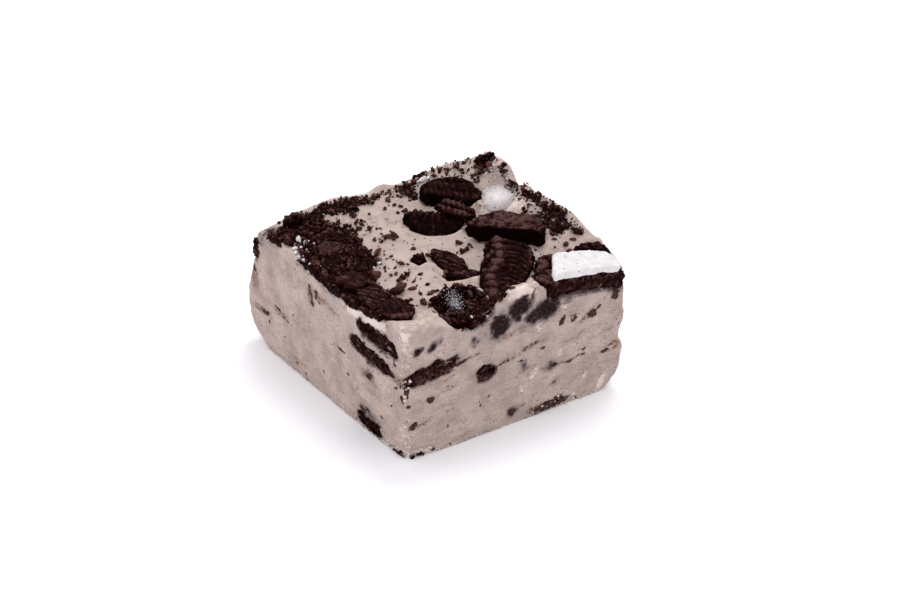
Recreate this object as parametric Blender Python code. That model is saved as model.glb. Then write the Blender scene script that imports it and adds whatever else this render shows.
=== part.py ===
"""A square of cookies and cream fudge, knife-cut on two sides, with the pan's rounded edge on the other two.

Broken dark wafer pieces, a corner of a cream sandwich and a lump of cream lie sunk in its top; more wafer
pieces show as sections in the two cut faces. Lengths are millimetres: x runs from the left cut face to the
right, y from the front cut face to the back, z up from the flat underside.
"""

import math
import random

import bmesh
import bpy
import numpy as np
from mathutils import Vector, noise

MM = 0.001

# The block of fudge
LEFT_X = -25.0
FRONT_Y = -28.4
WIDTH = 50.6
DEPTH = 58.3
MIDDLE = (LEFT_X + WIDTH / 2.0, FRONT_Y + DEPTH / 2.0)
TOP_LEVEL = 26.7
GRID_STEP = 2.9
EDGE_RADIUS = 1.1
BACK_CORNER_RADIUS = 4.0
TOP_WAVE = 0.35
SIDE_WAVE = 0.35
WAVE_LENGTH = 6.5

# The foot of the front left corner is knocked off: how far, up to what height, and how far along the faces
FOOT_CUT = 1.7
FOOT_HEIGHT = 4.0
FOOT_REACH = 5.0

# How far the two pan-side faces stand in from their widest level: (height, inset)
RIGHT_INSET = ((0.0, 5.0), (2.0, 2.7), (5.0, 0.7), (9.0, 0.0), (11.5, 1.2), (15.0, 0.3), (28.0, 0.6))
BACK_INSET = (
    (0.0, 9.0), (3.0, 3.2), (6.0, 0.8), (9.0, 0.0), (11.0, 0.9), (15.0, 1.5), (20.0, 3.8), (28.0, 6.0))

# Swells and dips of the poured top: (x, y, half-width x, half-width y, rise, steepness)
SWELLS = {
    "corner_lump": (24.5, 13.0, 8.5, 6.2, 5.2, 4),
    "back_lump": (18.5, 21.5, 9.0, 5.0, 2.6, 2),
    "right_ridge": (25.0, -7.0, 7.0, 16.0, 4.4, 2),
    "back_rise": (-8.0, 21.0, 12.0, 5.0, 1.6, 2),
    "left_back_corner": (-25.0, 24.0, 5.0, 6.0, -1.2, 2),
    "left_dip": (-25.0, -6.0, 7.0, 13.0, -1.9, 2),
    "front_left_corner": (-24.0, -27.0, 8.0, 5.0, 1.2, 2),
    "front_mound": (1.5, -27.0, 5.0, 4.0, 1.2, 2),
    "front_notch": (-12.5, -28.4, 3.5, 4.0, -2.6, 2),
    "sandwich_seat": (20.0, -28.4, 9.0, 6.0, -2.5, 2),
}

# Wafer: baked dark cookie, 3.2 mm thick, fluted at its round rim
WAFER_THICKNESS = 3.2
FLUTE_PITCH = 1.1
FLUTE_DEPTH = 0.22
BREAK_STEP = 1.8
BREAK_JITTER = 0.24
FACE_RELIEF = 0.16
BEVEL = 0.45
CLEARANCE = 0.3
OPEN_REACH = 9.0

# The wafer pieces in the top: centre of the upper face, its slope along x and y, its outline round the
# centre, the outline edges that are fluted rim (by index) and the thickness
TOP_PIECES = {
    "wafer_back": {
        "centre": (12.2, 11.2, 29.8), "slope": (0.05, 0.22), "thickness": 3.6, "rim": (4, 5, 6, 7),
        "outline": (
            (-5.0, 3.6), (-1.2, 4.6), (3.0, 3.2), (4.7, 0.4), (4.6, -3.6), (2.3, -5.6), (-0.4, -4.2), (-3.6, -0.9),
            (-5.4, 1.4)),
    },
    "wafer_slab": {
        "centre": (12.3, -8.2, 31.0), "slope": (0.0, 0.03), "thickness": 3.4, "rim": (),
        "outline": (
            (-7.3, 4.1), (-3.1, 5.4), (1.1, 4.6), (4.1, 1.5), (5.7, -2.2), (4.8, -5.7), (2.6, -6.7), (-2.3, -1.8),
            (-5.7, 1.0)),
    },
    "wafer_ridged": {
        "centre": (3.6, -18.6, 28.8), "slope": (0.05, 0.18), "thickness": 3.2, "rim": (3, 4, 5),
        "outline": (
            (1.3, 7.2), (3.4, 7.4), (4.8, 5.9), (6.9, 3.8), (7.2, 1.2), (4.9, -2.3), (0.3, -6.3), (-4.2, -8.4),
            (-6.6, -8.9), (-8.0, -6.8), (-7.6, -3.4), (-4.4, 1.0), (-1.0, 5.0)),
    },
    "wafer_fan": {
        "centre": (3.2, 3.9, 28.1), "slope": (0.1, 0.35), "thickness": 3.2, "rim": (1, 2, 3),
        "outline": (
            (-4.3, 1.2), (-4.2, 4.5), (-2.0, 4.4), (1.0, 2.4), (4.6, 0.2), (6.0, -1.7), (4.1, -3.3), (0.2, -3.9),
            (-2.9, -2.4)),
    },
    "wafer_ribbed": {
        "centre": (8.2, 3.2, 29.9), "slope": (0.1, 0.35), "thickness": 1.6, "rim": (0, 1),
        "outline": ((-3.5, 2.7), (-0.9, 3.3), (2.0, 1.7), (2.9, -1.4), (2.1, -3.2), (-0.4, -2.5), (-2.5, -0.1)),
    },
    "wafer_wedge": {
        "centre": (-2.6, -10.7, 28.0), "slope": (0.0, 0.1), "thickness": 2.6, "rim": (),
        "outline": ((-1.3, 5.4), (0.8, 3.7), (2.5, -0.9), (1.4, -3.1), (-0.4, -3.8), (-2.5, -2.9), (-2.7, 0.5)),
    },
    "wafer_sliver": {
        "centre": (-3.7, -15.7, 27.6), "slope": (0.0, 0.0), "thickness": 2.2, "rim": (),
        "outline": ((-3.3, 2.4), (-1.1, 1.0), (1.8, 1.3), (3.6, -0.6), (1.9, -1.9), (-0.8, -1.0), (-3.2, 0.2)),
    },
    "wafer_chunk": {
        "centre": (-7.3, -6.2, 28.0), "slope": (0.0, 0.0), "thickness": 2.4, "rim": (),
        "outline": ((-1.4, 0.8), (0.6, 2.0), (1.7, 0.7), (0.9, -1.2), (-0.9, -1.7)),
    },
    "wafer_rim": {
        "centre": (-21.3, -20.7, 28.1), "slope": (0.0, 0.05), "thickness": 3.0, "rim": (4, 5, 6),
        "outline": (
            (-3.1, 0.6), (-2.3, 3.0), (0.1, 3.8), (2.1, 2.9), (3.0, 1.4), (2.7, -1.5), (0.9, -3.4), (-0.8, -3.5),
            (-2.5, -2.3)),
    },
    "wafer_band_front": {
        "centre": (-21.8, -12.9, 27.2), "slope": (0.1, 0.05), "thickness": 2.6, "rim": (3, 4),
        "outline": ((-2.6, 0.6), (-1.3, 3.7), (1.8, 3.2), (2.8, -0.9), (0.6, -3.4), (-1.8, -2.8)),
    },
    "wafer_band_middle": {
        "centre": (-21.3, -5.4, 27.2), "slope": (0.05, 0.0), "thickness": 2.6, "rim": (),
        "outline": ((-2.8, -1.3), (-1.8, 3.0), (1.4, 3.4), (2.6, 0.6), (1.8, -2.7), (-1.0, -3.4)),
    },
    "wafer_band_back": {
        "centre": (-19.0, 6.8, 28.0), "slope": (0.1, -0.1), "thickness": 2.6, "rim": (),
        "outline": ((-2.6, -0.6), (-1.3, 2.3), (1.4, 2.6), (2.4, 0.3), (1.3, -2.3), (-1.3, -2.5)),
    },
    "wafer_left_corner": {
        "centre": (-19.8, 19.4, 29.3), "slope": (0.1, 0.0), "thickness": 2.6, "rim": (),
        "outline": ((-1.8, -0.4), (-1.0, 1.9), (1.2, 1.6), (1.9, -0.3), (0.5, -1.8), (-1.2, -1.7)),
    },
    "wafer_lump_flake": {
        "centre": (22.2, 13.4, 33.0), "slope": (0.1, 0.3), "thickness": 1.4, "rim": (),
        "outline": ((-2.2, 1.4), (0.2, 1.5), (2.5, 0.9), (1.6, -1.0), (-1.5, -2.0)),
    },
    "wafer_front_cluster": {
        "centre": (-10.4, -25.0, 27.0), "slope": (0.1, 0.45), "thickness": 4.2, "rim": (),
        "outline": (
            (-5.2, -0.4), (-3.6, 3.6), (0.3, 4.8), (4.2, 3.3), (5.6, 0.2), (5.0, -3.2), (1.6, -3.4), (-3.4, -3.3)),
    },
}

# The corner of a cream sandwich at the front right: lower wafer, cream, a scrap of the upper wafer
SANDWICH_CENTRE = (16.5, -24.6, 26.8)
SANDWICH_SLOPE = (-0.16, 0.2)
SANDWICH_PLATE = (
    (-11.6, -3.7), (-10.9, -2.0), (-9.3, 0.6), (-6.8, 3.8), (-5.1, 5.0), (-2.9, 5.4), (1.5, 5.2), (5.5, 4.6),
    (8.4, 3.0), (8.5, -3.7))
SANDWICH_CREAM = (
    (-8.7, -3.6), (-6.4, 0.4), (-4.3, 2.9), (0.2, 2.7), (4.2, 2.0), (7.0, 1.2), (8.1, -0.6), (7.6, -2.6),
    (6.6, -3.6))
SANDWICH_SCRAP = ((0.9, 2.4), (2.1, 4.3), (5.5, 4.3), (8.5, 3.4), (7.8, 1.0), (4.3, 1.8))
CREAM_THICKNESS = 1.7
SCRAP_THICKNESS = 1.9

# The lump of cream on the slope of the corner lump
LUMP_CENTRE = (18.9, 4.6, 28.6)
LUMP_RADII = (3.4, 4.9, 2.2)
LUMP_OPENING = Vector((-3.0, -5.0, 8.0))
LUMP_TURN = math.radians(-35.0)
LUMP_WAVE = 0.07

# Wafer sections in the cut faces: along the face, height, half-length, half-height, turn, depth inwards
# and the sideways slant of that depth
LEFT_SECTIONS = {
    "section_left_upper": (-19.0, 22.1, 7.2, 1.7, 2.0, 6.0, 0.2),
    "section_left_middle": (-17.2, 17.4, 7.6, 1.6, 3.0, 6.0, 0.1),
    "section_left_base": (-16.0, 2.2, 4.4, 1.6, 0.0, 4.0, 0.0),
    "section_left_corner": (25.3, 21.6, 1.3, 2.4, 10.0, 3.0, -0.5),
}
FRONT_SECTIONS = {
    "section_front_long": (-19.1, 17.7, 5.8, 1.8, 8.0, 5.0, 0.8),
    "section_front_round": (-7.0, 13.3, 2.1, 1.5, 0.0, 3.0, 0.0),
    "section_front_upper": (-4.2, 22.4, 1.9, 2.1, -20.0, 3.0, 0.0),
    "section_front_under_ridge": (0.3, 24.3, 1.9, 1.5, 30.0, 3.0, 0.0),
    "section_front_right": (5.4, 22.2, 3.6, 1.4, 12.0, 4.0, 0.0),
    "section_front_base": (7.7, 1.4, 3.6, 1.0, 3.0, 3.0, 0.0),
}
SECTION_RELIEF = 0.08
SECTION_SIDES = 18

# Crumbs fused to the top: x from and to, y from and to, how many, smallest and largest length
CRUMB_ZONES = {
    "left_band": (-24.2, -14.0, -18.0, 22.0, 74, 1.7, 4.2),
    "back_edge": (-14.0, 4.0, 17.5, 22.0, 12, 1.4, 2.8),
    "right_ridge": (18.5, 24.0, -17.0, 3.0, 18, 1.5, 3.2),
    "corner_lump": (13.5, 23.0, 15.5, 20.0, 8, 1.2, 2.2),
    "open_field": (-14.0, 6.0, -21.0, 17.0, 16, 1.1, 2.1),
    "front_edge": (-16.5, -5.0, -27.0, -19.5, 6, 1.4, 2.4),
}
BAND_SLANT = 0.14
CRUMB_POINTS = 13
CRUMB_FLATNESS = 0.7
SEED = 27

FUDGE_COLOUR = (0.52, 0.42, 0.37, 1.0)
WAFER_COLOUR = (0.028, 0.013, 0.011, 1.0)
CREAM_COLOUR = (0.86, 0.84, 0.82, 1.0)

rng = random.Random(SEED)


def material(name, colour, roughness):
    """Plain food surface."""
    made = bpy.data.materials.new(name)
    made.use_nodes = True
    shader = made.node_tree.nodes["Principled BSDF"]
    shader.inputs["Base Color"].default_value = colour
    shader.inputs["Roughness"].default_value = roughness
    shader.inputs["Metallic"].default_value = 0.0
    return made


def wave(x, y, z, length):
    """Smooth unevenness between -1 and 1."""
    return noise.noise(Vector((x / length, y / length, z / length)))


def inset_at(profile, height):
    """Inset of a pan-side face at a height."""
    heights, insets = zip(*profile)
    return float(np.interp(height, heights, insets))


def top_height(x, y):
    """Height of the poured top over a point."""
    height = TOP_LEVEL + TOP_WAVE * wave(x, y, 3.0, WAVE_LENGTH)
    for centre_x, centre_y, half_x, half_y, rise, steepness in SWELLS.values():
        across = abs((x - centre_x) / half_x) ** 2 + abs((y - centre_y) / half_y) ** steepness
        height += rise * math.exp(-across)
    return height


def new_object(name, mesh_bm, surface=None):
    """Object from a bmesh in millimetres, as metres about the block's middle, with outward normals."""
    bmesh.ops.recalc_face_normals(mesh_bm, faces=mesh_bm.faces)
    bmesh.ops.translate(mesh_bm, vec=(-MIDDLE[0], -MIDDLE[1], 0.0), verts=mesh_bm.verts)
    bmesh.ops.scale(mesh_bm, vec=(MM, MM, MM), verts=mesh_bm.verts)
    mesh = bpy.data.meshes.new(name)
    mesh_bm.to_mesh(mesh)
    mesh_bm.free()
    made = bpy.data.objects.new(name, mesh)
    bpy.context.scene.collection.objects.link(made)
    if surface is not None:
        mesh.materials.append(surface)
    return made


def hull_of(corners):
    """Closed mesh of the convex hull of some points."""
    mesh_bm = bmesh.new()
    made = [mesh_bm.verts.new(corner) for corner in corners]
    hull = bmesh.ops.convex_hull(mesh_bm, input=made)
    spare = {item for item in hull["geom_interior"] if isinstance(item, bmesh.types.BMVert)}
    bmesh.ops.delete(mesh_bm, geom=list(spare), context="VERTS")
    return mesh_bm


def grid_lines(length, edge):
    """Positions of the grid lines along one side: two close to each edge, the rest even."""
    inner = length - 2.0 * edge
    count = max(2, round(inner / GRID_STEP))
    even = [edge + inner * i / count for i in range(count + 1)]
    return [0.0, 0.4 * edge] + even + [length - 0.4 * edge, length]


def rounded(x, y, z, height):
    """Point of the plain box moved onto its rounded edges; the pan-side corner is rounder."""
    far = min(1.0, max(0.0, (y / DEPTH + x / WIDTH) - 0.9))
    radius = EDGE_RADIUS + (BACK_CORNER_RADIUS - EDGE_RADIUS) * far
    inner = (
        min(max(x, radius), WIDTH - radius),
        min(max(y, radius), DEPTH - radius),
        min(max(z, EDGE_RADIUS), height - EDGE_RADIUS),
    )
    off = [(x - inner[0]) / radius, (y - inner[1]) / radius, (z - inner[2]) / EDGE_RADIUS]
    reach = math.sqrt(sum(value * value for value in off))
    if reach > 1.0:
        off = [value / reach for value in off]
    return inner[0] + off[0] * radius, inner[1] + off[1] * radius, inner[2] + off[2] * EDGE_RADIUS


def block_point(x, y, z):
    """Point of the plain box carried to the block's own form."""
    height = TOP_LEVEL
    x, y, z = rounded(x, y, z, height)
    share = z / height
    level = share * height
    right = inset_at(RIGHT_INSET, level)
    back = inset_at(BACK_INSET, level)
    along = x / WIDTH
    deep = y / DEPTH
    foot = FOOT_CUT * max(0.0, 1.0 - level / FOOT_HEIGHT) * math.exp(-((x + y) / FOOT_REACH) ** 2)
    px = LEFT_X + x + foot - right * along ** 3
    py = FRONT_Y + y + foot - back * deep ** 3
    ripple = SIDE_WAVE * wave(px, py, level, WAVE_LENGTH)
    px += ripple * along ** 6
    py += ripple * deep ** 6
    return px, py, share * top_height(px, py)


def block_core():
    """Closed mesh of the block without its pockets and crumbs; its underside is one flat face."""
    xs = grid_lines(WIDTH, EDGE_RADIUS)
    ys = grid_lines(DEPTH, EDGE_RADIUS)
    zs = grid_lines(TOP_LEVEL, EDGE_RADIUS)
    last_x, last_y, last_z = len(xs) - 1, len(ys) - 1, len(zs) - 1
    mesh_bm = bmesh.new()
    made = {}

    def vertex(i, j, k):
        if (i, j, k) not in made:
            made[i, j, k] = mesh_bm.verts.new(block_point(xs[i], ys[j], zs[k]))
        return made[i, j, k]

    def quad(*corners):
        mesh_bm.faces.new([vertex(*corner) for corner in corners])

    for i in range(last_x):
        for j in range(last_y):
            quad((i, j, last_z), (i + 1, j, last_z), (i + 1, j + 1, last_z), (i, j + 1, last_z))
    for k in range(last_z):
        for i in range(last_x):
            quad((i, 0, k), (i + 1, 0, k), (i + 1, 0, k + 1), (i, 0, k + 1))
            quad((i + 1, last_y, k), (i, last_y, k), (i, last_y, k + 1), (i + 1, last_y, k + 1))
        for j in range(last_y):
            quad((0, j + 1, k), (0, j, k), (0, j, k + 1), (0, j + 1, k + 1))
            quad((last_x, j, k), (last_x, j + 1, k), (last_x, j + 1, k + 1), (last_x, j, k + 1))
    ring = [(i, 0, 0) for i in range(last_x)] + [(last_x, j, 0) for j in range(last_y)]
    ring += [(i, last_y, 0) for i in range(last_x, 0, -1)] + [(0, j, 0) for j in range(last_y, 0, -1)]
    for corner in ring:
        made[corner].co.z = 0.0
    mesh_bm.faces.new([made[corner] for corner in reversed(ring)])
    return mesh_bm


def broken_outline(outline, rim, shake):
    """Outline of a fragment: snapped edges wander, rim edges carry flutes."""
    points = []
    for index, (x0, y0) in enumerate(outline):
        x1, y1 = outline[(index + 1) % len(outline)]
        length = math.hypot(x1 - x0, y1 - y0)
        step = FLUTE_PITCH / 2.0 if index in rim else BREAK_STEP
        count = max(1, round(length / step))
        normal = ((y1 - y0) / length, -(x1 - x0) / length)
        for k in range(count):
            if index in rim:
                off = FLUTE_DEPTH * (1 if k % 2 else -1)
            else:
                off = shake.uniform(-BREAK_JITTER, BREAK_JITTER)
            share = k / count
            points.append((x0 + (x1 - x0) * share + normal[0] * off, y0 + (y1 - y0) * share + normal[1] * off))
    return points


def fragment(name, piece, grow=0.0, reach=0.0):
    """Slab of wafer or cream in its own plane; grown and drawn upwards it is the cutter of its pocket."""
    shake = random.Random(name)
    cx, cy, cz = piece["centre"]
    slope_x, slope_y = piece["slope"]
    normal = Vector((-slope_x, -slope_y, 1.0)).normalized()
    points = broken_outline(piece["outline"], piece["rim"], shake)
    middle = (sum(p[0] for p in points) / len(points), sum(p[1] for p in points) / len(points))

    def place(px, py, depth):
        flat = Vector((cx + px, cy + py, cz + slope_x * px + slope_y * py))
        return flat - normal * depth

    def ring(scale_in, depth, relief):
        made = []
        for px, py in points:
            out = Vector((px - middle[0], py - middle[1]))
            size = max(out.length, 0.01)
            out *= max(0.15, (size + scale_in) / size)
            uneven = depth + relief * shake.uniform(-1.0, 1.0)
            made.append(mesh_bm.verts.new(place(middle[0] + out.x, middle[1] + out.y, uneven)))
        return made

    mesh_bm = bmesh.new()
    thick = piece["thickness"]
    if grow:
        upper = [vert.co.copy() for vert in ring(grow, -grow - FACE_RELIEF, 0.0)]
        lower = [vert.co.copy() for vert in ring(grow, thick + grow + FACE_RELIEF, 0.0)]
        mesh_bm.free()
        return hull_of(upper + lower + [corner + Vector((0.0, 0.0, reach)) for corner in upper])
    small = min(math.hypot(px - middle[0], py - middle[1]) for px, py in points)
    bevel = min(BEVEL, 0.4 * small)
    rings = [
        ring(-0.55 * small, 0.0, FACE_RELIEF),
        ring(-bevel, 0.0, FACE_RELIEF),
        ring(0.0, bevel, 0.0),
        ring(0.0, thick - bevel, 0.0),
        ring(-bevel, thick, 0.0),
    ]
    for upper, lower in zip(rings, rings[1:]):
        for k in range(len(points)):
            n = (k + 1) % len(points)
            mesh_bm.faces.new((upper[k], lower[k], lower[n], upper[n]))
    for end, depth in ((rings[0], 0.0), (rings[-1], thick)):
        centre = mesh_bm.verts.new(place(middle[0], middle[1], depth))
        for k in range(len(points)):
            mesh_bm.faces.new((centre, end[k], end[(k + 1) % len(points)]))
    return mesh_bm


def squarish(value):
    """Sine or cosine drawn out, so that a ring turns into a rounded block."""
    return math.copysign(abs(value) ** 0.7, value)


def section(name, face, values, grow=0.0, reach=0.0):
    """Wafer piece that runs into the block from a cut face; grown and drawn outwards it is its cutter."""
    shake = random.Random(name)
    along, height, half_length, half_height, turn, depth, slant = values
    angle = math.radians(turn)

    def place(u, w, inwards):
        if face == "left":
            return LEFT_X + inwards, u + slant * inwards, w
        return u + slant * inwards, FRONT_Y + inwards, w

    mesh_bm = bmesh.new()
    outline = []
    for k in range(SECTION_SIDES):
        round_angle = 2.0 * math.pi * k / SECTION_SIDES
        edge = 1.0 + shake.uniform(-0.1, 0.1)
        a = (half_length * edge + grow) * squarish(math.cos(round_angle))
        b = (half_height * edge + grow) * squarish(math.sin(round_angle))
        u = along + a * math.cos(angle) - b * math.sin(angle)
        w = height + a * math.sin(angle) + b * math.cos(angle)
        outline.append((u, max(w, -grow if grow else 0.35)))
    depths = (-reach, depth + grow) if grow else (0.0, depth - BEVEL, depth)
    rings = []
    for inwards in depths:
        squeeze = 0.8 if not grow and inwards == depth else 1.0
        rings.append([
            mesh_bm.verts.new(place(along + (u - along) * squeeze, height + (w - height) * squeeze, inwards))
            for u, w in outline
        ])
    for first, second in zip(rings, rings[1:]):
        for k in range(SECTION_SIDES):
            n = (k + 1) % SECTION_SIDES
            mesh_bm.faces.new((first[k], first[n], second[n], second[k]))
    dent_in = 0.0 if grow else SECTION_RELIEF
    for end, inwards, dent in ((rings[0], depths[0], dent_in), (rings[-1], depths[-1], 0.0)):
        centre = mesh_bm.verts.new(place(along, height, inwards + dent))
        for k in range(SECTION_SIDES):
            mesh_bm.faces.new((centre, end[k], end[(k + 1) % SECTION_SIDES]))
    return mesh_bm


def cream_lump(grow=0.0, reach=0.0):
    """Rounded lump of cream, pressed into the slope."""
    mesh_bm = bmesh.new()
    bmesh.ops.create_icosphere(mesh_bm, subdivisions=3, radius=1.0)
    turn_cos, turn_sin = math.cos(LUMP_TURN), math.sin(LUMP_TURN)
    for vert in mesh_bm.verts:
        uneven = 1.0 + LUMP_WAVE * wave(*(vert.co * 2.0), 1.0)
        x, y, z = (vert.co[axis] * (LUMP_RADII[axis] * uneven + grow) for axis in range(3))
        vert.co = Vector((x * turn_cos - y * turn_sin, x * turn_sin + y * turn_cos, z)) + Vector(LUMP_CENTRE)
    if grow:
        corners = [vert.co.copy() for vert in mesh_bm.verts]
        mesh_bm.free()
        mesh_bm = hull_of(corners + [corner + LUMP_OPENING * (reach / LUMP_OPENING.z) for corner in corners])
    return mesh_bm


def crumb(x, y, z, length):
    """Broken grain of wafer."""
    turn = rng.uniform(0.0, math.tau)
    corners = []
    radii = (length / 2.0, length * rng.uniform(0.3, 0.45), length * CRUMB_FLATNESS * rng.uniform(0.35, 0.55))
    for _ in range(CRUMB_POINTS):
        way = Vector((rng.gauss(0, 1), rng.gauss(0, 1), rng.gauss(0, 1))).normalized()
        a, b, c = (way[axis] * radii[axis] for axis in range(3))
        corners.append(Vector((
            x + a * math.cos(turn) - b * math.sin(turn), y + a * math.sin(turn) + b * math.cos(turn), z + c)))
    return hull_of(corners)


def over_a_piece(x, y, margin, outlines):
    """Whether a point lies on or near one of the pieces in the top."""
    for outline in outlines:
        inside = False
        for (x0, y0), (x1, y1) in zip(outline, outline[1:] + outline[:1]):
            if (y0 > y) != (y1 > y) and x < (x1 - x0) * (y - y0) / (y1 - y0) + x0:
                inside = not inside
            length = math.hypot(x1 - x0, y1 - y0)
            share = min(1.0, max(0.0, ((x - x0) * (x1 - x0) + (y - y0) * (y1 - y0)) / length ** 2))
            if math.hypot(x - x0 - share * (x1 - x0), y - y0 - share * (y1 - y0)) < margin:
                return True
        if inside:
            return True
    return False


def crumb_objects(outlines):
    """Every crumb of the top, the largest first, clear of the pieces and of the block's rim."""
    wanted = []
    for x_from, x_to, y_from, y_to, count, smallest, largest in CRUMB_ZONES.values():
        for _ in range(count):
            x = rng.uniform(x_from, x_to)
            y = rng.uniform(y_from, y_to)
            if x_from < -20.0:
                x = x_from + (x - x_from) * (1.0 + BAND_SLANT * y / -x_to)
            wanted.append((smallest + (largest - smallest) * rng.random() ** 1.6, x, y))
    made = []
    for length, x, y in sorted(wanted, reverse=True):
        if not over_a_piece(x, y, length / 2.0 + CLEARANCE, outlines):
            made.append(new_object(f"crumb_{len(made)}", crumb(x, y, top_height(x, y) + 0.12 * length, length)))
    return made


def boolean(target, others, operation):
    """One Boolean of the target with all the others, applied; the others are removed."""
    group = bpy.data.collections.new(f"{target.name}_{operation.lower()}")
    bpy.context.scene.collection.children.link(group)
    for other in others:
        group.objects.link(other)
    change = target.modifiers.new(operation.lower(), "BOOLEAN")
    change.operation = operation
    change.operand_type = "COLLECTION"
    change.collection = group
    change.solver = "MANIFOLD"
    bpy.context.view_layer.update()
    result = bpy.data.meshes.new_from_object(target.evaluated_get(bpy.context.evaluated_depsgraph_get()))
    target.modifiers.remove(change)
    target.data = result
    for other in others:
        bpy.data.objects.remove(other)
    bpy.data.collections.remove(group)


def keep_largest(target):
    """Drop loose scraps, welding points that coincide."""
    mesh_bm = bmesh.new()
    mesh_bm.from_mesh(target.data)
    bmesh.ops.remove_doubles(mesh_bm, verts=mesh_bm.verts, dist=0.01 * MM)
    bmesh.ops.triangulate(mesh_bm, faces=[face for face in mesh_bm.faces if len(face.verts) > 4])
    left = set(mesh_bm.verts)
    bodies = []
    while left:
        stack = [left.pop()]
        body = set(stack)
        while stack:
            for edge in stack.pop().link_edges:
                for vert in edge.verts:
                    if vert not in body:
                        body.add(vert)
                        stack.append(vert)
        left -= body
        bodies.append(body)
    bodies.sort(key=len)
    for body in bodies[:-1]:
        bmesh.ops.delete(mesh_bm, geom=list(body), context="VERTS")
    mesh_bm.to_mesh(target.data)
    mesh_bm.free()


def bounds(target):
    """Lowest and highest corner of an object's mesh, in metres."""
    points = np.array([vert.co[:] for vert in target.data.vertices])
    return points.min(0), points.max(0)


def apart(first, second):
    """Whether two objects' boxes stay clear of each other."""
    (low_a, high_a), (low_b, high_b) = bounds(first), bounds(second)
    return bool(np.any(low_a > high_b) or np.any(low_b > high_a))


def makers():
    """Name, surface and shape function of every piece that lies in the block, in order of precedence."""
    sandwich = {"centre": SANDWICH_CENTRE, "slope": SANDWICH_SLOPE, "rim": (), "thickness": WAFER_THICKNESS}
    normal = Vector((-SANDWICH_SLOPE[0], -SANDWICH_SLOPE[1], 1.0)).normalized()
    cream_centre = Vector(SANDWICH_CENTRE) + normal * (CREAM_THICKNESS + CLEARANCE)
    scrap_centre = Vector(SANDWICH_CENTRE) + normal * (SCRAP_THICKNESS + CLEARANCE)
    layers = {
        "sandwich_wafer": (dict(sandwich, outline=SANDWICH_PLATE), "wafer"),
        "sandwich_cream": (
            dict(sandwich, centre=cream_centre[:], outline=SANDWICH_CREAM, thickness=CREAM_THICKNESS), "cream"),
        "sandwich_scrap": (
            dict(sandwich, centre=scrap_centre[:], outline=SANDWICH_SCRAP, thickness=SCRAP_THICKNESS), "wafer"),
    }
    listed = []
    for name, (piece, surface) in layers.items():
        listed.append((name, surface, lambda grow=0.0, reach=0.0, n=name, p=piece: fragment(n, p, grow, reach)))
    for name, piece in TOP_PIECES.items():
        listed.append((name, "wafer", lambda grow=0.0, reach=0.0, n=name, p=piece: fragment(n, p, grow, reach)))
    listed.append(("cream_lump", "cream", cream_lump))
    for face, sections in (("left", LEFT_SECTIONS), ("front", FRONT_SECTIONS)):
        for name, values in sections.items():
            listed.append((
                name, "wafer",
                lambda grow=0.0, reach=0.0, n=name, f=face, v=values: section(n, f, v, grow, reach)))
    return listed


def top_outlines():
    """Plan outlines of everything that lies in the top."""
    outlines = []
    for piece in TOP_PIECES.values():
        cx, cy, _ = piece["centre"]
        outlines.append([(cx + px, cy + py) for px, py in piece["outline"]])
    outlines.append([(SANDWICH_CENTRE[0] + px, SANDWICH_CENTRE[1] + py) for px, py in SANDWICH_PLATE])
    cx, cy, _ = LUMP_CENTRE
    ring = [math.tau * k / 12 for k in range(12)]
    outlines.append([(cx + LUMP_RADII[0] * math.cos(a), cy + LUMP_RADII[1] * math.sin(a)) for a in ring])
    return outlines


def finish(target, angle=35.0):
    """Smooth shading with the sharp edges kept."""
    target.data.shade_smooth()
    target.data.set_sharp_from_angle(angle=math.radians(angle))


def main():
    for old in list(bpy.data.objects):
        bpy.data.objects.remove(old)
    surfaces = {
        "wafer": lambda name: material(name, WAFER_COLOUR, 0.75),
        "cream": lambda name: material(name, CREAM_COLOUR, 0.6),
    }
    block = new_object("fudge_block", block_core(), material("fudge_block", FUDGE_COLOUR, 0.5))
    boolean(block, crumb_objects(top_outlines()), "UNION")
    pieces = []
    for name, surface, shape in makers():
        piece = new_object(name, shape(), surfaces[surface](name))
        rivals = []
        for other_name, _, other_shape in pieces:
            rival = new_object(f"{other_name}_gap", other_shape(grow=CLEARANCE, reach=0.01))
            if apart(piece, rival):
                bpy.data.objects.remove(rival)
            else:
                rivals.append(rival)
        if rivals:
            boolean(piece, rivals, "DIFFERENCE")
            keep_largest(piece)
        finish(piece)
        pieces.append((name, surface, shape))
    cutters = [
        new_object(f"{name}_pocket", shape(grow=CLEARANCE, reach=OPEN_REACH)) for name, _, shape in pieces]
    boolean(block, cutters, "DIFFERENCE")
    keep_largest(block)
    finish(block)


main()
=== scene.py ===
"""Looks of the cookies and cream fudge square: dense block, wafer pieces, cream, crumbs, stage and camera.

Lengths in the code are millimetres in the model's own axes, where the left cut face is at LEFT_X, the front cut
face at FRONT_Y and the underside at 0; place() carries them to the row frame in metres.
"""

import math

import bmesh
import bpy
import numpy as np
from bpy.props import FloatProperty, FloatVectorProperty, IntProperty, PointerProperty
from bpy.types import Operator, Panel, PropertyGroup
from mathutils import Color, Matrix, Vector, noise
from mathutils.bvhtree import BVHTree


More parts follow.
